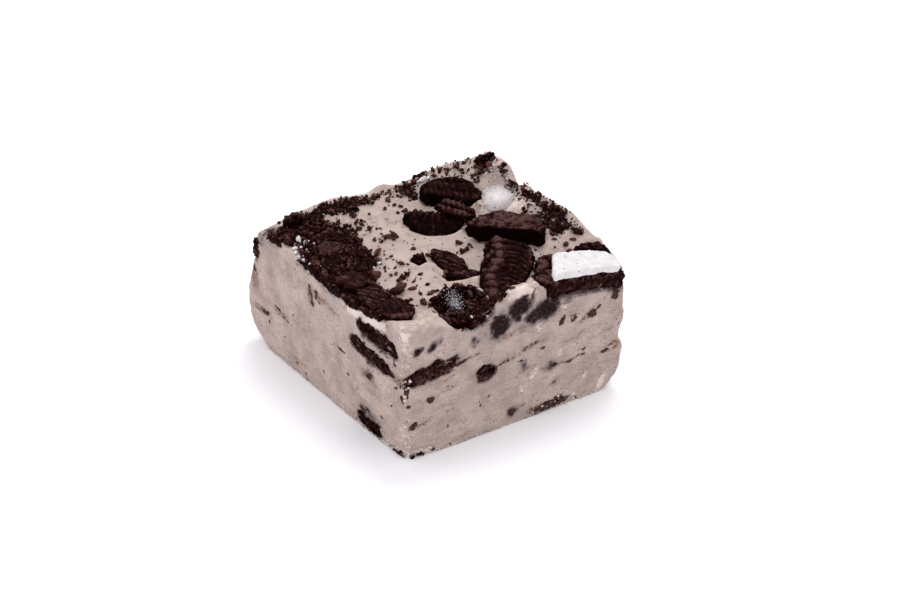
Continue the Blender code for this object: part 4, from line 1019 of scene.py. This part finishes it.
def hidden_marks(rng, axis, length):
    """Bits, films and smears of a side that the photo doesn't show."""
    low = FRONT_Y if axis == 1 else LEFT_X
    marks = np.stack([
        low + rng.uniform(0.05, 0.95, HIDDEN_BITS) * length, rng.uniform(2.0, TOP_LEVEL - 3.0, HIDDEN_BITS),
        rng.uniform(0.6, 2.4, HIDDEN_BITS), rng.uniform(0.4, 1.3, HIDDEN_BITS),
        rng.uniform(-10.0, 25.0, HIDDEN_BITS), rng.uniform(0.3, 1.0, HIDDEN_BITS),
    ], 1)
    bits = marks[: HIDDEN_BITS // 2] * np.array([1.0, 1.0, 0.6, 0.6, 1.0, 1.0])
    smears = marks[:, :5] * np.array([1.0, 1.0, 1.6, 0.4, 0.4]) + np.array([1.2, 0.0, 0.0, 0.0, 0.0])
    return bits, marks, smears


def marks_of(points, parts):
    """Depth in the open bits and in the smears, and strength of the bits below the surface."""
    top, left, front, right, back = parts
    sharp, stain = np.full(len(points), OUTSIDE), np.full(len(points), OUTSIDE)
    film = film_of(points[:, 0], points[:, 1], TOP_FILM) * (top > 0.5)
    rng = np.random.default_rng(SEED + 2)
    for part, axis, seed, tables in (
        (left, 1, 131, (LEFT_SHARP, LEFT_FILM, LEFT_STAIN)),
        (front, 0, 131, (FRONT_SHARP, FRONT_FILM, FRONT_STAIN)),
        (right, 1, 151, hidden_marks(rng, 1, DEPTH)),
        (back, 0, 151, hidden_marks(rng, 0, WIDTH)),
    ):
        mask = part > 0.5
        bits, films, smears = tables
        first, second = ragged_plane(points[mask], seed)
        along, height = points[mask, axis] + first, points[mask, 2] + second
        sharp[mask] = np.maximum(sharp[mask], mark_depth(along, height, bits))
        stain[mask] = np.maximum(stain[mask], mark_depth(along, height, smears))
        film[mask] = np.maximum(film[mask], film_of(along, height, films))
    film *= 0.85 + 0.45 * fractal(points, (1.1, 1.1, 0.9), 87, 3, 0.7)
    return sharp, stain, film


def paleness_of(grid, points, share, parts, film, corner_foot):
    """How pale each point is: scraped and crushed places, and painted highlight on the crests of the top's mounds and
    along the cut edges.
    """
    _, left, front, right, back = parts
    side = np.clip(left + front + right + back, 0.0, 1.0)
    spots = np.where(front > 0.5, mark_depth(points[:, 0], points[:, 2], PALE_SPOTS), OUTSIDE)
    corner = np.abs(grid[:, 0]) + np.abs(grid[:, 1])
    worn = 0.5 + 0.9 * fractal(points, 2.4, 85)
    # Pale along the upright front edge and the top edges of the cut faces, partly scraped, partly painted light
    pale = 0.6 * worn * np.exp(-((corner / 2.2) ** 2)) + 0.8 * smooth_step(share, 0.95, 1.0) * side * worn
    pale += 0.8 * smooth_step(spots, -0.35, 0.3)
    # Pale places of the top, partly painted highlight on the mounds' crests
    for centre_x, centre_y, half_x, half_y, most in PALE_TOP:
        hilly = hill(points[:, 0], points[:, 1], centre_x, centre_y, half_x, half_y)
        pale += most * hilly * smooth_step(share, 0.85, 0.97)
    pale += 1.7 * left * worn * smooth_step(share, 0.9, 0.985) * smooth_step(-points[:, 1], 6.0, 12.0)
    pale -= 1.2 * front * smooth_step(film, 0.3, 0.9)
    pale += 0.12 * np.clip(right + back, 0.0, 1.0)
    return pale + (0.55 * np.exp(-((points[:, 2] / 0.8) ** 2)) + 0.8 * corner_foot * worn) * side


class FUDGE_OT_block(Operator):
    """The block of fudge, with its cut faces, pan-side faces and poured top"""

    bl_idname = "fudge.block"
    bl_label = "Fudge block"

    def execute(self, context):
        sizes, look = context.scene.fudge_sizes, context.scene.fudge_look
        grid, faces = block_shell(sizes.block_step, sizes.edge_radius)
        points, share = block_form(grid, sizes.edge_radius)
        parts = parts_of(grid)
        top, left = parts[:2]
        cover = crumb_cover(points[:, 0], points[:, 1])
        solids = {node: solid_of(node) for node in (*WAFERS, *SECTIONS)}
        lip = lip_of(points, top, solids)
        carve, halo = carving_of(grid, points, solids)
        from_corner = np.hypot(points[:, 0] - LEFT_X, points[:, 1] - FRONT_Y)
        corner_foot = np.exp(-((from_corner / 6.0) ** 2) - (points[:, 2] / 3.0) ** 2)
        points = points + skin_shift(grid, points, share, parts, cover, carve, lip, corner_foot)
        points[grid[:, 2] == 0.0, 2] = 0.0

        sharp, stain, film = marks_of(points, parts)
        fading = left * cover * smooth_step(share + 0.02 * fractal(points, 1.5, 88), 0.93, 1.0)
        film = np.maximum(np.maximum(film, halo), 0.85 * fading * smooth_step(points[:, 1], -13.0, -9.0))
        attributes = {
            "side": np.clip(sum(parts[1:]), 0.0, 1.0),
            "sharp": sharp,
            "film": film,
            "stain": stain,
            "pale": paleness_of(grid, points, share, parts, film, corner_foot),
            "crust": cover * top,
        }
        made = make("fudge_body", points, faces, fudge_material(look), attributes)
        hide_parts("fudge_block")
        return {"FINISHED"}


def grain_kinds(level, count, seed, bold):
    """Irregular broken grains about one unit long: points and faces."""
    holder = bmesh.new()
    bmesh.ops.create_icosphere(holder, subdivisions=level, radius=0.5)
    sphere = np.array([vertex.co[:] for vertex in holder.verts])
    faces = np.array([[vertex.index for vertex in face.verts] for face in holder.faces])
    holder.free()
    kinds = []
    rng = np.random.default_rng(seed)
    for kind in range(count):
        shift = rng.uniform(-40.0, 40.0, 3)
        swell = 1.0 + bold * fractal(sphere * 2.0 + shift, 1.0, seed + kind, 3, 0.6)
        grain = sphere * swell[:, None]
        for _ in range(5):
            way = rng.normal(size=3)
            way /= np.linalg.norm(way)
            over = np.maximum(0.0, grain @ way - rng.uniform(0.26, 0.42))
            grain = grain - over[:, None] * way
        kinds.append((grain * rng.uniform((0.85, 0.6, 0.5), (1.15, 0.95, 0.85)), swell))
    return kinds, faces


def turned(angles):
    """Rotation in the plan, then two slight tilts."""
    turn = np.eye(3)
    for (first, second), angle in zip(((0, 1), (1, 2), (0, 2)), angles):
        step = np.eye(3)
        step[first, first] = step[second, second] = math.cos(angle)
        step[first, second], step[second, first] = -math.sin(angle), math.sin(angle)
        turn = turn @ step
    return turn


def scatter(name, spots, lengths, surface, level, seed, slot, tones=(-0.1, 1.5), bold=0.5):
    """One joined mesh of grains at the given places, with painted shade where crumbs lie thick and painted light on
    each grain's upper side and bulges.
    """
    kinds, faces = grain_kinds(level, GRAIN_KINDS, seed, bold)
    rng = np.random.default_rng(seed + 1)
    points, all_faces, peaks = [], [], []
    start = 0
    thick = crumb_cover(spots[:, 0], spots[:, 1]) * (spots[:, 2] > 20.0) * (slot == "wafer")
    for spot, length, shade in zip(spots, lengths, THICK_SHADE * thick):
        grain, swell = kinds[rng.integers(len(kinds))]
        turn = turned(rng.uniform(0.0, math.tau, 3) * GRAIN_TILT)
        placed = (grain * length * GRAIN_SQUASH) @ turn.T
        hung = placed[:, 2] / length
        placed = placed + spot
        placed[:, 2] = np.maximum(placed[:, 2], 0.0)
        points.append(placed)
        all_faces.append(faces + start)
        # Random tone, painted shade in thick heaps, painted light on the bulges and on the upper side of each grain
        peaks.append(rng.uniform(*tones) - shade + 0.5 * (swell - 1.0) + 1.5 * hung)
        start += len(placed)
    points, all_faces = np.concatenate(points), np.concatenate(all_faces).tolist()
    attributes = {"peak": np.concatenate(peaks), "frost": np.full(len(points), NO_FROST)}
    make(name, points, all_faces, surface, attributes, smooth=level > 2)


def seated(x, y, lengths, lift):
    """Places on the top for grains of the given lengths."""
    heap = HEAP * crumb_cover(x, y) * np.random.default_rng(len(x)).random(len(x)) ** 1.4
    return np.stack([x, y, top_height(x, y) + mound_rise(x, y) + lift * lengths + heap], 1)


class FUDGE_OT_crumbs(Operator):
    """Crumbs of wafer on the top, by size"""

    bl_idname = "fudge.crumbs"
    bl_label = "Crumbs"

    def execute(self, context):
        sizes, look = context.scene.fudge_sizes, context.scene.fudge_look
        surface = wafer_material(look, "crumb", look.crumb_dry)
        rng = np.random.default_rng(SEED)
        for name, tries, smallest, largest, power, floor, level, lift in (
            ("crumbs_fine", sizes.crumbs_fine, 0.22, 0.7, 1.0, 1.0, 1, 0.35),
            ("crumbs_middle", sizes.crumbs_middle, 0.65, 1.35, 1.4, 0.5, 2, 0.28),
            ("crumbs_coarse", sizes.crumbs_coarse, 1.3, 2.4, 1.8, 0.0, 3, 0.2),
        ):
            x = rng.uniform(LEFT_X + 0.3, LEFT_X + WIDTH - 1.0, tries)
            y = rng.uniform(FRONT_Y + 0.3, FRONT_Y + DEPTH - 6.5, tries)
            keep = rng.random(tries) < np.maximum(crumb_cover(x, y), floor * sprinkled(x, y))
            x, y = x[keep], y[keep]
            lengths = smallest * (largest / smallest) ** (rng.random(len(x)) ** power)
            if name == "crumbs_coarse":
                single = np.array(FIELD_CRUMBS)
                single[:, 2] *= 0.85
                x, y, lengths = (np.concatenate(pair) for pair in zip((x, y, lengths), single.T))
            past = np.hypot(np.maximum(x - BACK_CORNER[0], 0.0), np.maximum(y - BACK_CORNER[1], 0.0))
            x, y, lengths = (values[past < BACK_CORNER[2]] for values in (x, y, lengths))
            spots = seated(x, y, lengths, lift)
            scatter(name, spots, lengths, surface, level, 900 + level, "wafer", tones=(0.5, 1.5))
        return {"FINISHED"}


def seats_on(node, x, y, start):
    """Where rays straight down from a height meet a node, no numbers where they pass it."""
    tree = solid_of(node)[0]
    hits = [tree.ray_cast(Vector((a, b, start)), Vector((0.0, 0.0, -1.0)))[0] for a, b in zip(x, y)]
    return np.array([(math.nan, math.nan, math.nan) if hit is None else hit[:] for hit in hits])


def cream_grains(rng, cream):
    """White grains among the crumbs, with finer ones round them."""
    x, y, lengths = np.array(GRAINS).T * np.array([[1.0], [1.0], [0.8]])
    home = rng.integers(len(GRAINS) - 8, size=FINE_CREAM)
    fine_x = (x[home] + rng.normal(0.0, 0.7, FINE_CREAM)).clip(-24.8, 20.0)
    fine_y = y[home] + rng.normal(0.0, 0.8, FINE_CREAM)
    x, y = np.concatenate([x, fine_x]), np.concatenate([y, fine_y])
    lengths = np.concatenate([lengths, 0.14 + 0.6 * rng.random(FINE_CREAM) ** 3])
    scatter("cream_grains", seated(x, y, lengths, 0.35), lengths, cream, 2, 950, "cream", bold=0.7)


def sugar_grains(rng, cream):
    """Fine sugar on the cluster at the front."""
    x, y = rng.normal(SUGAR_PATCH[0], 0.9, SUGAR), rng.normal(SUGAR_PATCH[1], 1.3, SUGAR)
    seats = seats_on("wafer_front_cluster", x, y, 35.0)
    spots = seats[~np.isnan(seats[:, 2])] + np.array([0.0, 0.0, 0.08])
    scatter("sugar_grains", spots, 0.07 + 0.2 * rng.random(len(spots)) ** 3, cream, 1, 960, "cream")


def lump_powder(rng, cream):
    """Powder in which the lump of cream runs out."""
    around, out = rng.uniform(0.0, math.tau, POWDER), rng.normal(0.95, 0.16, POWDER)
    centre_x, centre_y, half_x, half_y, turn = LUMP
    off_x, off_y, turn = half_x * out * np.cos(around), half_y * out * np.sin(around), math.radians(turn)
    x = centre_x + off_x * math.cos(turn) - off_y * math.sin(turn)
    y = centre_y + off_x * math.sin(turn) + off_y * math.cos(turn)
    height = np.fmax(top_height(x, y) + mound_rise(x, y) + 0.1, seats_on("cream_lump", x, y, 45.0)[:, 2])
    lengths = 0.1 + 0.3 * rng.random(POWDER) ** 2
    scatter("lump_powder", np.stack([x, y, height], 1), lengths, cream, 1, 995, "cream", bold=0.7)


def edge_crumbs(rng, pale):
    """Crumbs along the upright edge between the two cut faces."""
    along, up = np.abs(rng.normal(0.0, 0.5, UPRIGHT)), rng.uniform(0.5, 24.5, UPRIGHT)
    on_left = rng.random(UPRIGHT) < 0.5
    off_x, off_y = np.where(on_left, 0.12, 0.15 + along), np.where(on_left, 0.15 + along, 0.12)
    inset = foot_inset(off_x, off_y, up)
    spots = np.stack([LEFT_X + off_x + inset, FRONT_Y + off_y + inset, up], 1)
    lengths = 0.2 + 0.6 * rng.random(UPRIGHT) ** 2
    scatter("edge_crumbs", spots, lengths, pale, 2, 997, "fudge", tones=(0.6, 1.6), bold=0.8)


def front_chips(pale):
    """Pale chips on the front cut face."""
    chips = np.array(CHIPS)
    spots = np.stack([chips[:, 0], np.full(len(chips), FRONT_Y + 0.1), chips[:, 1]], 1)
    scatter("front_chips", spots, chips[:, 2], pale, 3, 980, "fudge", tones=(0.9, 1.5), bold=0.8)


def foot_debris(rng, wafer):
    """Dark crumbs at the foot of the front corner."""
    x = LEFT_X + 1.1 + np.abs(rng.normal(0.0, 2.6, DEBRIS))
    y = FRONT_Y + 1.1 + np.abs(rng.normal(0.0, 2.6, DEBRIS))
    up = 0.15 + np.abs(rng.normal(0.0, 0.4, DEBRIS))
    at_left = x - LEFT_X <= y - FRONT_Y
    x[at_left] = LEFT_X + 0.5 + rng.uniform(0.0, 0.5, at_left.sum())
    y[~at_left] = FRONT_Y + 0.5 + rng.uniform(0.0, 0.5, (~at_left).sum())
    lengths = 0.25 + 0.75 * rng.random(DEBRIS) ** 2
    scatter("foot_debris", np.stack([x, y, up], 1), lengths, wafer, 2, 985, "wafer")


def foot_crumbs(rng, pale):
    """Pale crumbs along the foot of both cut faces, more at the corner."""
    along, up = rng.uniform(0.0, 1.0, FOOT), np.abs(rng.normal(0.0, 0.3, FOOT))
    on_left = rng.random(FOOT) < 0.6
    x = np.where(on_left, LEFT_X + rng.uniform(0.1, 0.4, FOOT), LEFT_X + along * (WIDTH - 6.0))
    y = np.where(on_left, FRONT_Y + along * (DEPTH - 8.0), FRONT_Y + rng.uniform(0.1, 0.4, FOOT))
    corner = rng.random(FOOT) < 0.45
    lengths = 0.15 + (0.5 + 0.35 * corner) * rng.random(FOOT) ** 1.7
    x = np.where(corner & ~on_left, LEFT_X + 0.6 + np.abs(rng.normal(0.0, 3.4, FOOT)), x)
    y = np.where(corner & on_left, FRONT_Y + 0.6 + np.abs(rng.normal(0.0, 2.6, FOOT)), y)
    up = np.where(corner, np.abs(rng.normal(0.0, 0.8, FOOT)), up)
    inset = foot_inset(x - LEFT_X, y - FRONT_Y, up)
    spots = np.stack([x + inset, y + inset, up + 0.35 * lengths], 1)
    scatter("foot_crumbs", spots, lengths, pale, 1, 970, "fudge", tones=(0.5, 1.5))


def mound_crumbs(rng, pale):
    """Pale crumbs on the ridge of the front edge."""
    x, y = rng.normal(-1.2, 1.6, RIDGE), -27.6 + np.abs(rng.normal(0.0, 0.5, RIDGE))
    lengths = 0.2 + 0.5 * rng.random(RIDGE) ** 2
    spots = seated(x, y, lengths, 0.25) - np.array([0.0, 0.0, 0.3])
    scatter("mound_crumbs", spots, lengths, pale, 1, 990, "fudge", tones=(0.8, 1.6))


class FUDGE_OT_grains(Operator):
    """Grains of cream, sugar and powder on the top, pale chips and crumbs on the cut faces and at the foot"""

    bl_idname = "fudge.grains"
    bl_label = "Grains"

    def execute(self, context):
        look = context.scene.fudge_look
        rng = np.random.default_rng(SEED + 1)
        cream, pale = cream_material(look), fudge_crumb_material(look)
        cream_grains(rng, cream)
        sugar_grains(rng, cream)
        lump_powder(rng, cream)
        edge_crumbs(rng, pale)
        front_chips(pale)
        foot_debris(rng, wafer_material(look, "debris", look.wafer_dry))
        foot_crumbs(rng, pale)
        mound_crumbs(rng, pale)
        return {"FINISHED"}


def aimed(scene, name, data, place_at, way):
    """Light or camera at a place, turned the given way."""
    made = bpy.data.objects.new(name, data)
    scene.collection.objects.link(made)
    made.location = place_at
    made.rotation_mode = "QUATERNION"
    made.rotation_quaternion = way.to_track_quat("-Z", "Y")
    return made


class FUDGE_OT_stage(Operator):
    """Pale floor, soft light and the camera"""

    bl_idname = "fudge.stage"
    bl_label = "Stage"

    def execute(self, context):
        scene = context.scene
        bpy.ops.mesh.primitive_plane_add(size=FLOOR_SIZE, location=(0.0, 0.0, 0.0))
        floor = context.object
        floor.name = "floor"
        t = Tree("floor")
        t.set(Base_Color=(0.90, 0.895, 0.93), Roughness=0.9, Specular_IOR_Level=0.0)
        floor.data.materials.append(t.material)

        world = bpy.data.worlds.new("studio")
        scene.world = world
        world.use_nodes = True
        world.node_tree.nodes["Background"].inputs["Color"].default_value = (1.0, 0.995, 1.0, 1.0)
        world.node_tree.nodes["Background"].inputs["Strength"].default_value = 1.07

        for name, place_at, size, power, tint in LIGHTS:
            lamp = bpy.data.lights.new(name, "AREA")
            lamp.shape = "DISK"
            lamp.size, lamp.energy, lamp.color = size, power, tint
            aimed(scene, name, lamp, Vector(place_at), -Vector(place_at))

        level = math.cos(CAMERA_ELEVATION)
        back = Vector((
            math.sin(CAMERA_AZIMUTH) * level, -math.cos(CAMERA_AZIMUTH) * level, math.sin(CAMERA_ELEVATION)
        ))
        lens = bpy.data.cameras.new("camera")
        lens.lens, lens.sensor_width = 85.0, 36.0
        lens.clip_start, lens.clip_end = 0.01, 20.0
        target = Vector(((CAMERA_AIM[0] - MIDDLE[0]) * MM, (CAMERA_AIM[1] - MIDDLE[1]) * MM, CAMERA_AIM[2] * MM))
        scene.camera = aimed(scene, "camera", lens, target + back * CAMERA_DISTANCE, -back)
        scene.view_settings.view_transform = "Standard"
        scene.view_settings.look = "None"
        return {"FINISHED"}


STEPS = (
    FUDGE_OT_wafers, FUDGE_OT_sections, FUDGE_OT_cream, FUDGE_OT_block, FUDGE_OT_crumbs, FUDGE_OT_grains,
    FUDGE_OT_stage,
)


class FUDGE_PT_panel(Panel):
    """The steps in the order they are run"""

    bl_label = "Fudge square"
    bl_idname = "FUDGE_PT_panel"
    bl_space_type = "VIEW_3D"
    bl_region_type = "UI"
    bl_category = "Fudge"

    def draw(self, context):
        for step in STEPS:
            self.layout.operator(step.bl_idname)
        for group in (context.scene.fudge_sizes, context.scene.fudge_look):
            for name in group.__annotations__:
                self.layout.prop(group, name)


CLASSES = (FudgeSizes, FudgeLook, *STEPS, FUDGE_PT_panel)


def register():
    for item in CLASSES:
        bpy.utils.register_class(item)
    bpy.types.Scene.fudge_sizes = PointerProperty(type=FudgeSizes)
    bpy.types.Scene.fudge_look = PointerProperty(type=FudgeLook)


def unregister():
    del bpy.types.Scene.fudge_look
    del bpy.types.Scene.fudge_sizes
    for item in reversed(CLASSES):
        bpy.utils.unregister_class(item)


def main():
    register()
    bpy.ops.fudge.wafers()
    bpy.ops.fudge.sections()
    bpy.ops.fudge.cream()
    bpy.ops.fudge.block()
    bpy.ops.fudge.crumbs()
    bpy.ops.fudge.grains()
    bpy.ops.fudge.stage()


if __name__ == "__main__":
    main()
